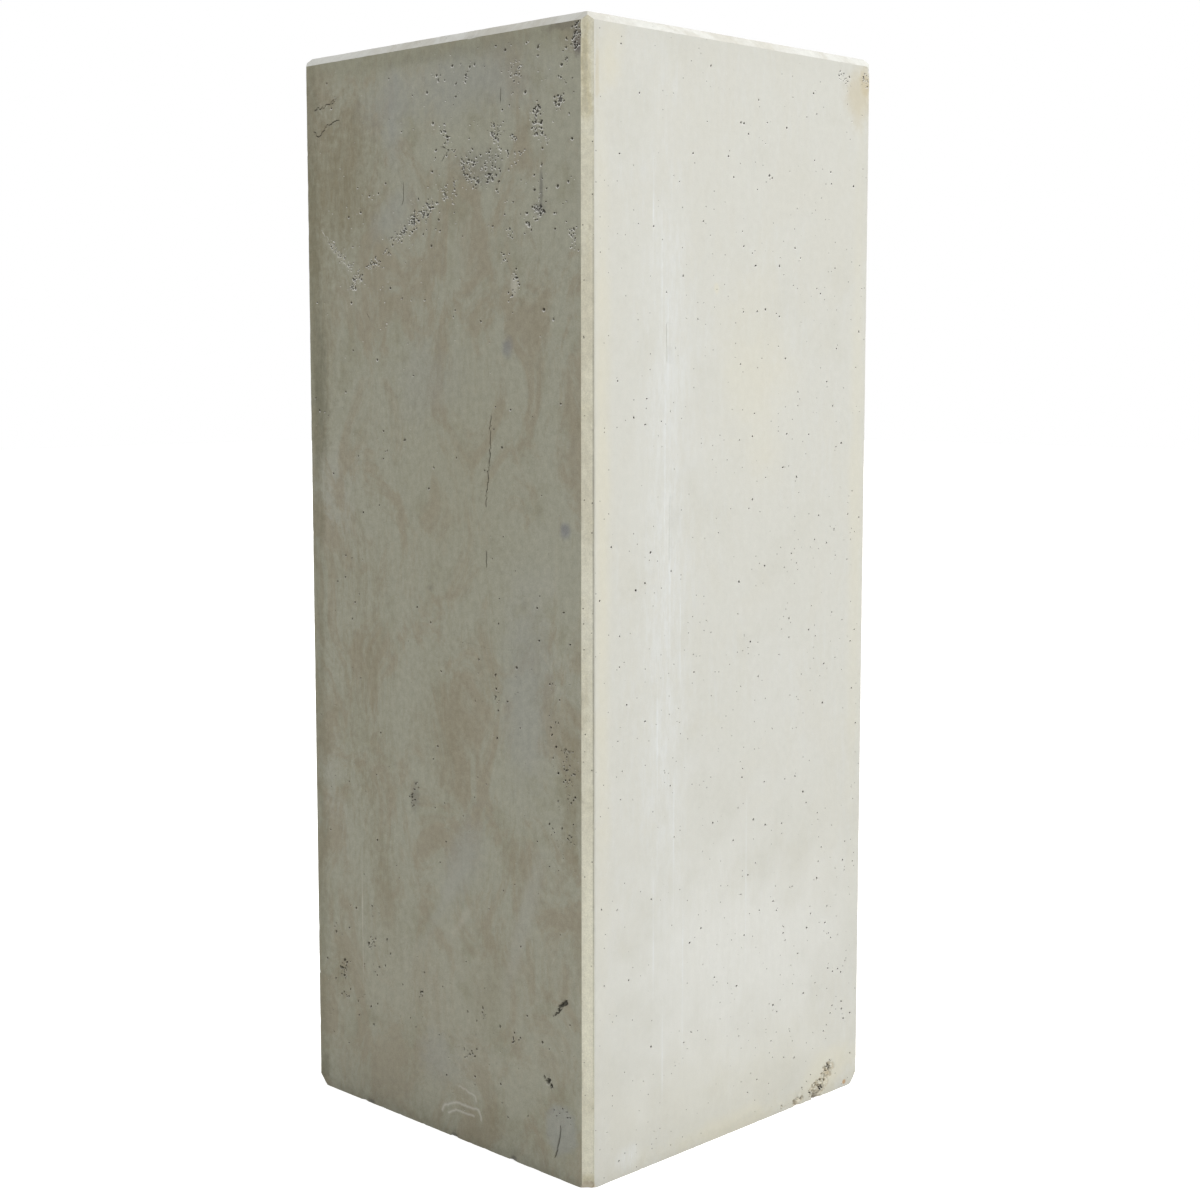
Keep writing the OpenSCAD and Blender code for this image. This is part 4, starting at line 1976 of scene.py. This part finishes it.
def left_finish() -> ConcreteFinish:
    """Greenish grey with olive runs, blue clouds and dirty edges.

    Returns:
        The wall's finish.
    """
    stains = (
        Stain(-0.290, 1.82, 0.160, 0.190, OLIVE_BROWN, 0.85, 1.0, 0.8, 12, 0.35),
        Stain(-0.345, 1.55, 0.060, 0.330, OLIVE_BROWN, 0.55, 0.7, 0.8, 0, 0.4),
        Stain(-0.380, 1.20, 0.042, 2.000, (0.22, 0.205, 0.135), 0.5, 0.5, 0.6, 0, 0.25),
        Stain(0.020, 2.045, 0.380, 0.016, DAMP, 0.35, 0.9, 0.9, 0, 0.4),
        Stain(0.020, 0.780, 0.090, 0.220, OLIVE_BROWN, 0.35, 0.9, 0.9, 8, 0.3),
        Stain(0.140, 0.300, 0.060, 0.150, OLIVE_BROWN, 0.45, 0.9, 0.9, -25, 0.2),
        Stain(0.150, 0.070, 0.045, 0.080, OLIVE_BROWN, 0.5, 0.9, 0.9, 0, 0.3),
        Stain(-0.170, 0.480, 0.050, 0.200, OLIVE_BROWN, 0.4, 0.9, 0.9, 12, 0.3),
        Stain(-0.020, 0.150, 0.085, 0.070, BLUE_GREY, 0.7, 0.8, 0.8, 0, 0.1),
        Stain(0.070, 0.560, 0.060, 0.140, BLUE_GREY, 0.5, 0.8, 0.9, -25, 0.1),
        Stain(-0.030, 1.450, 0.120, 0.100, BLUE_GREY, 0.4, 0.8, 0.9, 0, 0.2),
        Stain(0.130, 1.99, 0.210, 0.085, BLUE_GREY, 0.65, 0.6, 0.9, 0, 0.2),
        Stain(-0.120, 1.93, 0.035, 0.110, BLUE_GREY, 0.5, 0.5, 0.9, 0, 0.3),
        Stain(0.376, 2.035, 0.014, 0.040, DARK_PURPLE, 0.75, 1.0, 0.5, 0, 0.0),
        Stain(0.340, 2.058, 0.060, 0.012, DARK_PURPLE, 0.6, 1.0, 0.6, 0, 0.0),
        Stain(-0.352, 1.42, 0.028, 0.190, DAMP, 0.6, 0.6, 0.8, 0, 0.3),
        Stain(-0.220, 0.88, 0.120, 0.390, OLIVE_BROWN, 0.42, 0.8, 0.9, 0, 0.8),
        Stain(0.358, 0.74, 0.036, 0.180, OLIVE_BROWN, 0.65, 0.8, 0.7, 0, 0.5),
        Stain(0.245, 0.90, 0.085, 0.240, BLUE_GREY, 0.6, 0.5, 0.8, 0, 0.2),
        Stain(0.330, 0.095, 0.050, 0.062, BLUE_GREY, 0.7, 0.4, 0.3, 0, 0.0),
        Stain(-0.370, 0.030, 0.018, 0.032, DAMP, 0.45, 1.4, 0.8, 0, 0.0),
        Stain(0.197, 1.512, 0.020, 0.022, SLATE, 0.6, 0.6, 0.8, 0, 0.0),
        Stain(0.344, 1.190, 0.016, 0.018, SLATE, 0.75, 0.6, 0.8, 0, 0.0),
        # Painted shade in the broken spots along the foot.
        Stain(0.034, 0.003, 0.012, 0.006, SOOT_AND_SHADE, 0.9, 0.5, 0.5, 0, 0.0),
        Stain(0.204, 0.004, 0.010, 0.007, SOOT_AND_SHADE, 0.9, 0.5, 0.5, 0, 0.0),
        Stain(-0.218, 0.003, 0.014, 0.006, SOOT_AND_SHADE, 0.8, 0.5, 0.5, 0, 0.0),
        Stain(0.285, 1.790, 0.006, 0.048, SOOT_AND_SHADE, 0.7, 0.5, 0.8, 0, 0.0),
        Stain(0.280, 1.752, 0.022, 0.014, SOOT_AND_SHADE, 0.5, 0.8, 0.8, 0, 0.0),
        Stain(0.215, 1.622, 0.012, 0.028, SMEAR, 0.7, 0.8, 0.6, 0, 0.0),
        Stain(-0.298, 1.700, 0.064, 0.010, SMEAR, 0.3, 1.0, 0.7, -37, 0.0),
        Stain(-0.110, 1.960, 0.110, 0.070, BLUE_GREY, 0.6, 0.8, 0.9, 0, 0.2),
        Stain(-0.130, 1.760, 0.100, 0.050, BLUE_GREY, 0.5, 0.8, 0.9, 35, 0.1),
        Stain(0.120, 1.835, 0.075, 0.045, SOOT_AND_SHADE, 0.35, 0.9, 0.9, 0, 0.0),
        Stain(0.230, 0.453, 0.026, 0.200, ASH, 0.6, 0.6, 0.9, -20, 0.1),
        Stain(0.003, 0.449, 0.022, 0.180, ASH, 0.5, 0.6, 0.9, -35, 0.1),
        Stain(0.060, 0.430, 0.070, 0.012, SMEAR, 0.30, 0.6, 0.9, 50, 0.0),
        Stain(-0.240, 0.370, 0.0022, 0.150, SMEAR, 0.7, 0.3, 0.9, 0, 0.0),
        Stain(-0.022, 1.059, 0.014, 0.010, SOOT_AND_SHADE, 0.35, 0.8, 0.9, 0, 0.0),
        Stain(-0.073, 0.650, 0.020, 0.042, SOOT_AND_SHADE, 0.45, 0.8, 0.8, 0, 0.0),
        Stain(-0.310, 0.250, 0.045, 0.070, OLIVE_BROWN, 0.55, 0.8, 0.8, 0, 0.5),
        Stain(-0.100, 0.250, 0.300, 0.260, OLIVE_BROWN, 0.12, 0.8, 1.0, 0, 0.5),
        Stain(0.060, 1.250, 0.260, 0.330, (0.36, 0.34, 0.24), 0.35, 0.7, 1.0, 0, 0.4),
        Stain(0.000, 0.220, 0.400, 0.280, (0.47, 0.45, 0.36), 0.35, 0.8, 1.0, 0, 0.3),
    )
    return ConcreteFinish(
        name="concrete_left",
        across=(0, -1, 0),
        # The paste is partly this wall's own olive grey and partly painted shade: it is made darker
        # than the front's because this side stands away from the lamp.
        paste=(0.405, 0.400, 0.317),
        pale=(0.455, 0.45, 0.385),
        dark=(0.325, 0.312, 0.225),
        streak=(0.29, 0.265, 0.18),
        streak_share=0.3,
        cloud_share=0.9,
        warm=(0.348, 0.306, 0.222),
        warm_share=0.72,
        pit_shade_share=0.72,
        highlight_and_smear_share=0.95,
        stains=stains,
        highlight_and_smear_tone=(0.82, 0.81, 0.76),
        foot_dirt=0.2,
        top_dirt=0.5,
        seed=1.0,
    )


def front_finish() -> ConcreteFinish:
    """Pale and smooth, with chalky runs and cream clouds.

    Returns:
        The wall's finish.
    """
    stains = (
        Stain(-0.200, 1.10, 0.090, 1.050, CHALK, 0.42, 0.5, 1.0, 0, 0.6),
        Stain(0.045, 1.46, 0.130, 0.250, CREAM, 0.32, 0.8, 1.0, 0, 0.1),
        Stain(-0.365, 1.20, 0.030, 0.950, CREAM, 0.55, 0.5, 0.9, 0, 0.2),
        Stain(0.350, 2.000, 0.050, 0.060, TAN, 0.55, 0.9, 0.9, 0, 0.0),
        Stain(0.372, 2.030, 0.018, 0.030, TAN, 0.8, 0.8, 0.7, 0, 0.0),
        Stain(-0.376, 1.990, 0.008, 0.090, TAN, 0.5, 0.9, 0.8, 0, 0.2),
        Stain(-0.350, 2.000, 0.050, 0.080, CREAM, 0.45, 1.0, 1.0, 0, 0.0),
        Stain(0.300, 0.050, 0.090, 0.050, CREAM, 0.5, 0.9, 0.9, 0, 0.0),
        Stain(0.345, 0.010, 0.007, 0.006, (0.40, 0.22, 0.08), 0.8, 0.3, 0.5, 0, 0.0),
        Stain(0.290, 0.046, 0.006, 0.008, (0.50, 0.37, 0.18), 0.8, 0.3, 0.5, 0, 0.0),
        # Painted shade: near-black in the broken spots at the foot.
        Stain(0.252, 0.003, 0.017, 0.005, (0.04, 0.035, 0.03), 0.95, 0.4, 0.4, 8, 0.0),
        Stain(0.191, 0.006, 0.010, 0.003, (0.05, 0.045, 0.04), 0.8, 0.4, 0.4, 0, 0.0),
        Stain(0.000, 0.100, 0.420, 0.160, CREAM, 0.22, 0.6, 1.0, 0, 0.2),
        Stain(0.360, 1.20, 0.030, 0.900, CREAM, 0.35, 0.6, 0.9, 0, 0.2),
        Stain(-0.065, 1.62, 0.008, 0.012, CREAM, 0.5, 0.6, 0.8, 0, 0.0),
        Stain(-0.3825, 1.02, 0.0016, 1.100, SOOT_AND_SHADE, 0.5, 0.5, 0.8, 0, 0.2),
        Stain(0.000, 0.015, 0.420, 0.035, CREAM, 0.50, 0.9, 1.0, 0, 0.0),
        Stain(-0.300, 0.030, 0.040, 0.030, CHALK, 0.6, 1.0, 0.8, 0, 0.6),
        Stain(0.000, 0.340, 0.420, 0.300, (0.62, 0.62, 0.585), 0.75, 0.8, 1.0, 0, 0.2),
    )
    runs = tuple(
        Stain(u, v, 3.0 * MM, half_v, CHALK, 0.55, 0.3, 1.0, 0, 0.6)
        for u, v, half_v in CHALK_RUNS
    )
    return ConcreteFinish(
        name="concrete_front",
        across=(1, 0, 0),
        # The paste is partly this wall's own pale tone and partly painted light: it is made paler
        # than the left wall's because this side faces the lamp.
        paste=(0.54, 0.537, 0.49),
        pale=(0.58, 0.58, 0.55),
        dark=(0.50, 0.495, 0.44),
        streak=(0.57, 0.58, 0.565),
        streak_share=0.3,
        cloud_share=0.45,
        grain_share=0.28,
        highlight_and_smear_share=0.6,
        highlight_and_smear_tone=(0.84, 0.84, 0.81),
        stone_low=(0.40, 0.34, 0.24),
        stone_high=(0.78, 0.74, 0.62),
        pit_shade_share=1.0,
        pit_shade_tone=(0.025, 0.022, 0.018),
        stains=stains + runs,
        top_dirt=0.15,
        foot_dirt=0.12,
        pin_hole_shade_share=0.7,
        warm=(0.525, 0.51, 0.445),
        relief=0.25 * MM,
        seed=2.0,
    )


def strewn_stains(seed: int, count: int) -> tuple[Stain, ...]:
    """Stains of the same kinds for the walls at the back.

    Args:
        seed: settles where they fall.
        count: how many.

    Returns:
        The stains.
    """
    rng = np.random.default_rng(seed)
    made = []
    for _ in range(count):
        tone = (OLIVE_BROWN, BLUE_GREY, SMEAR, CREAM)[rng.integers(0, 4)]
        half_v = rng.uniform(0.06, 0.35)
        made.append(
            Stain(
                u=rng.uniform(-0.35, 0.35),
                v=rng.uniform(0.1, 1.95),
                half_u=rng.uniform(0.03, 0.14),
                half_v=half_v,
                tone=tone,
                share=rng.uniform(0.25, 0.55),
                ragged=0.8,
                soft=0.9,
                streaky=rng.uniform(0.2, 0.8),
            )
        )
    return tuple(made)


def block_finishes() -> dict[Zone, ConcreteFinish]:
    """The concrete finish of every zone.

    Returns:
        One finish to a zone.
    """
    return {
        Zone.FRONT: front_finish(),
        Zone.LEFT: left_finish(),
        Zone.RIGHT: ConcreteFinish(
            name="concrete_right",
            across=(0, 1, 0),
            paste=(0.47, 0.46, 0.40),
            pale=(0.52, 0.515, 0.46),
            dark=(0.40, 0.385, 0.31),
            streak=(0.37, 0.34, 0.26),
            streak_share=0.35,
            cloud_share=0.5,
            stains=strewn_stains(31, 12),
            foot_dirt=0.35,
            top_dirt=0.3,
            seed=3.0,
        ),
        Zone.BACK: ConcreteFinish(
            name="concrete_back",
            across=(-1, 0, 0),
            paste=(0.43, 0.42, 0.35),
            pale=(0.48, 0.475, 0.42),
            dark=(0.35, 0.335, 0.26),
            streak=(0.30, 0.27, 0.19),
            streak_share=0.4,
            cloud_share=0.55,
            stains=strewn_stains(37, 14),
            foot_dirt=0.55,
            top_dirt=0.4,
            seed=4.0,
        ),
        Zone.ARRIS: ConcreteFinish(
            name="concrete_arris",
            across=(math.sqrt(0.5), -math.sqrt(0.5), 0),
            paste=(0.615, 0.595, 0.485),
            pale=(0.66, 0.65, 0.57),
            dark=(0.55, 0.52, 0.39),
            streak=(0.52, 0.48, 0.34),
            streak_share=0.4,
            cloud_share=0.6,
            stains=(
                Stain(-0.002, 1.980, 0.012, 0.130, OCHRE, 0.7, 1.6, 0.6, 0, 0.3),
                Stain(-0.004, 1.985, 0.005, 0.100, SOOT_AND_SHADE, 0.22, 2.4, 0.6, 0, 0.0),
                Stain(0.0, 0.330, 0.020, 0.420, (0.70, 0.68, 0.55), 0.85, 0.6, 0.9, 0, 0.2),
                Stain(0.0, 1.500, 0.020, 0.400, CREAM, 0.5, 0.6, 0.9, 0, 0.3),
                Stain(0.0098, 1.02, 0.0018, 1.10, SOOT_AND_SHADE, 0.6, 0.4, 0.7, 0, 0.0),
                Stain(0.0, 0.012, 0.020, 0.018, OCHRE, 0.5, 1.4, 0.8, 0, 0.0),
            ),
            foot_dirt=0.15,
            top_dirt=0.1,
            pin_hole_shade_share=0.8,
            speck_start=0.84,
            seed=5.0,
        ),
        Zone.TOP: ConcreteFinish(
            name="concrete_topside",
            across=(1, 0, 0),
            paste=(0.52, 0.51, 0.44),
            pale=(0.58, 0.57, 0.51),
            dark=(0.40, 0.385, 0.30),
            streak=(0.44, 0.42, 0.34),
            streak_share=0.2,
            cloud_share=0.7,
            seed=6.0,
        ),
        # Painted light: the crown's paste is paler than the walls' because the level chamfers face
        # the bright sky.
        Zone.CROWN: ConcreteFinish(
            name="concrete_crown_painted_sky_light",
            across=(1, 0, 0),
            paste=(0.64, 0.64, 0.60),
            pale=(0.68, 0.675, 0.64),
            dark=(0.52, 0.505, 0.44),
            streak=(0.50, 0.48, 0.40),
            streak_share=0.25,
            cloud_share=0.5,
            relief=0.25 * MM,
            grain_share=0.5,
            seed=8.0,
        ),
        Zone.BASE: ConcreteFinish(
            name="concrete_underside",
            across=(1, 0, 0),
            paste=(0.36, 0.35, 0.30),
            pale=(0.41, 0.40, 0.35),
            dark=(0.28, 0.265, 0.21),
            streak=(0.27, 0.25, 0.19),
            streak_share=0.3,
            cloud_share=0.6,
            seed=7.0,
        ),
    }


def cast_in_finishes() -> dict[str, CastInFinish]:
    """The finishes of the pieces that are cast in.

    Returns:
        One finish to each of the record's material slots.
    """
    return {
        "reinforcing_steel": CastInFinish(
            name="rusty_bar",
            base=(0.085, 0.065, 0.055),
            worn=(0.22, 0.085, 0.035),
            share=0.75,
            scale=90.0,
            rough=0.55,
            spread=0.3,
            relief=0.3 * MM,
            metal=0.6,
        ),
        "tying_wire": CastInFinish(
            name="annealed_wire",
            base=(0.06, 0.058, 0.055),
            worn=(0.16, 0.10, 0.06),
            share=0.4,
            scale=400.0,
            rough=0.4,
            spread=0.3,
            relief=0.05 * MM,
            metal=0.85,
        ),
        "spacer_plastic": CastInFinish(
            name="recycled_plastic",
            base=(0.045, 0.048, 0.052),
            worn=(0.10, 0.10, 0.098),
            share=0.5,
            scale=220.0,
            rough=0.45,
            spread=0.2,
            relief=0.05 * MM,
        ),
        "mortar": CastInFinish(
            name="cast_mortar",
            base=(0.40, 0.39, 0.355),
            worn=(0.30, 0.285, 0.245),
            share=0.6,
            scale=160.0,
            rough=0.75,
            spread=0.15,
            relief=0.3 * MM,
        ),
        "socket_steel": CastInFinish(
            name="dulled_zinc",
            base=(0.52, 0.53, 0.53),
            worn=(0.36, 0.34, 0.30),
            share=0.6,
            scale=120.0,
            rough=0.34,
            spread=0.35,
            relief=0.05 * MM,
            metal=0.9,
        ),
    }


# --------------------------------------------------------------------------
# Light, floor and camera
# --------------------------------------------------------------------------


@dataclass
class Studio:
    """A pale floor, a big soft lamp, a soft sky and the camera.

    Args:
        middle: the block's middle, which the lamp faces.
        floor_size: the floor's width.
        floor_gap: how far the floor lies below the base.
        floor_glow: the light that the floor adds where the camera sees it.
        lamp_place: where the lamp hangs.
        lamp_size: its width.
        lamp_power: its power, in watts.
        lamp_tint: its colour.
        sky_dim: the sky's strength on its dim side.
        sky_bright: its strength on its bright side.
        sky_way: the direction of its bright side.
        eye: where the camera stands.
        eye_turn: the way it faces, in degrees from the frame's x.
        eye_dip: how far it looks down, in degrees.
        lens: its focal length, in millimetres.
        rise: its upward shift, as a share of the sensor's width.
    """

    middle: Vector
    floor_size: float = 60.0
    floor_gap: float = 0.4 * MM
    floor_glow: float = 0.70
    lamp_place: Point3 = (1.6, -8.5, 5.0)
    lamp_size: float = 3.4
    lamp_power: float = 350.0
    lamp_tint: Colour = (1.0, 0.995, 0.985)
    sky_dim: float = 0.38
    sky_bright: float = 1.78
    sky_way: Point3 = (0.4, 0.0, 0.917)
    eye: Point3 = (-2.8556, -2.8645, 1.4751)
    eye_turn: float = 44.751
    eye_dip: float = 6.041
    lens: float = 60.19
    rise: float = -0.0167

    def build(self) -> None:
        """Sets up everything around the block."""
        self.lay_floor()
        self.hang_lamp()
        self.light_sky()
        self.place_camera()
        scene = bpy.context.scene
        scene.view_settings.view_transform = "Standard"
        scene.view_settings.look = "None"

    def lay_floor(self) -> None:
        """A wide pale floor with a faint unevenness."""
        half, low = self.floor_size / 2, -self.floor_gap
        mesh = bpy.data.meshes.new("floor")
        corners = [(-half, -half, low), (half, -half, low), (half, half, low), (-half, half, low)]
        mesh.from_pydata(corners, [], [(0, 1, 2, 3)])
        floor = bpy.data.objects.new("floor", mesh)
        bpy.context.scene.collection.objects.link(floor)
        bench = Surface("pale_floor")
        place = bench.signal("ShaderNodeTexCoord", "Object")
        cloud = bench.noise(place, 0.8, 3)
        colour = bench.blend(cloud, (0.68, 0.68, 0.67), (0.72, 0.72, 0.71))
        height = bench.noise(place, 300.0, 2)
        rough = cloud * 0.1 + 0.85
        seen = bench.signal("ShaderNodeLightPath", "Is Camera Ray")
        glow = bench.blend(seen, (0.0, 0.0, 0.0), (1.0, 1.0, 1.0))
        bench.plug(bench.shader, "Emission Color", glow)
        bench.plug(bench.shader, "Emission Strength", self.floor_glow)
        mesh.materials.append(bench.finish(colour, rough, bench.bump(height, 0.1 * MM)))
        floor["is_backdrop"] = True

    def hang_lamp(self) -> None:
        """One big soft lamp in front, up and to the right."""
        lamp = bpy.data.lights.new("soft_lamp", "AREA")
        lamp.shape = "SQUARE"
        lamp.size = self.lamp_size
        lamp.energy = self.lamp_power
        lamp.color = self.lamp_tint
        hung = bpy.data.objects.new("soft_lamp", lamp)
        hung.location = self.lamp_place
        way = self.middle - Vector(self.lamp_place)
        hung.rotation_euler = way.to_track_quat("-Z", "Y").to_euler()
        bpy.context.scene.collection.objects.link(hung)

    def light_sky(self) -> None:
        """A sky that is brighter on the right, and plain white behind."""
        world = bpy.data.worlds.new("soft_sky")
        world.use_nodes = True
        bpy.context.scene.world = world
        bench = Bench(world.node_tree)
        bench.tree.nodes.clear()
        side = bench.dot(bench.signal("ShaderNodeTexCoord", "Generated"), self.sky_way)
        light = bench.smooth(side, 0.0, 0.85, self.sky_dim, self.sky_bright)
        kind = "ShaderNodeBackground"
        soft = bench.signal(kind, "Background", None, {"Strength": light})
        white = {"Color": (1.0, 1.0, 1.0), "Strength": 1.0}
        plain = bench.signal(kind, "Background", None, white)
        seen = bench.signal("ShaderNodeLightPath", "Is Camera Ray")
        either = {"Fac": seen, "Shader": soft, "Shader_001": plain}
        shown = bench.signal("ShaderNodeMixShader", "Shader", None, either)
        bench.node("ShaderNodeOutputWorld", None, {"Surface": shown})

    def place_camera(self) -> None:
        """A standing viewer's camera, level, at the near arris."""
        data = bpy.data.cameras.new("camera")
        data.sensor_width = 36.0
        data.lens = self.lens
        data.shift_y = self.rise
        camera = bpy.data.objects.new("camera", data)
        camera.location = self.eye
        turn, dip = math.radians(self.eye_turn), math.radians(-self.eye_dip)
        level = math.cos(dip)
        ahead = Vector((math.cos(turn) * level, math.sin(turn) * level, math.sin(dip)))
        camera.rotation_euler = ahead.to_track_quat("-Z", "Y").to_euler()
        bpy.context.scene.collection.objects.link(camera)
        bpy.context.scene.camera = camera


# --------------------------------------------------------------------------
# Everything in order
# --------------------------------------------------------------------------


@dataclass(frozen=True)
class CastInPieces:
    """The bars, links, ties, wheels, seats and sockets cast into the block.

    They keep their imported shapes.

    Args:
        finishes: the finish of each of the record's material slots.
    """

    finishes: dict[str, CastInFinish]

    def dress(self) -> None:
        """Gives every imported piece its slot's finish."""
        made = {slot: finish.make() for slot, finish in self.finishes.items()}
        for part in frame["record"]["subparts"]:
            slot = part["material_slot"]
            if slot in made:
                slots = frame["nodes"][part["node"]].data.materials
                slots.clear()
                slots.append(made[slot])
                LOG.info("dressed %s in %s", part["node"], slot)


def packed_block() -> ConcreteBlock:
    """Takes the block's sizes from the frame and adds this block's marks.

    Returns:
        The block, ready to build.
    """
    low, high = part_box(BLOCK_NODE)
    boxes = [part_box(name) for name in SOCKET_NODES]
    foot, top = boxes[-1]
    return ConcreteBlock(
        low=low,
        high=high,
        marks={
            Side.FRONT: front_marks(),
            Side.RIGHT: plain_marks(41, 0.3),
            Side.BACK: plain_marks(43, 0.8),
            Side.LEFT: left_marks(),
        },
        chips=arris_chips((high.x - low.x) / 2, high.z - low.z, ConcreteBlock.chamfer),
        sockets=tuple(Vector(((a.x + b.x) / 2, (a.y + b.y) / 2, b.z)) for a, b in boxes),
        socket_radius=(top.x - foot.x) / 2,
        socket_depth=top.z - foot.z,
    )


def main() -> None:
    """Builds the block and its surroundings in order."""
    logging.basicConfig(level=logging.INFO, format="%(name)s: %(message)s")
    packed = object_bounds()
    low, high = packed
    block = packed_block()
    skin = block.build()
    block.dress(skin)
    LOG.info("cast %s with %d faces", skin.name, len(skin.data.polygons))
    CastInPieces(cast_in_finishes()).dress()
    Studio(middle=(Vector(low) + Vector(high)) / 2).build()


if __name__ == "__main__":
    main()
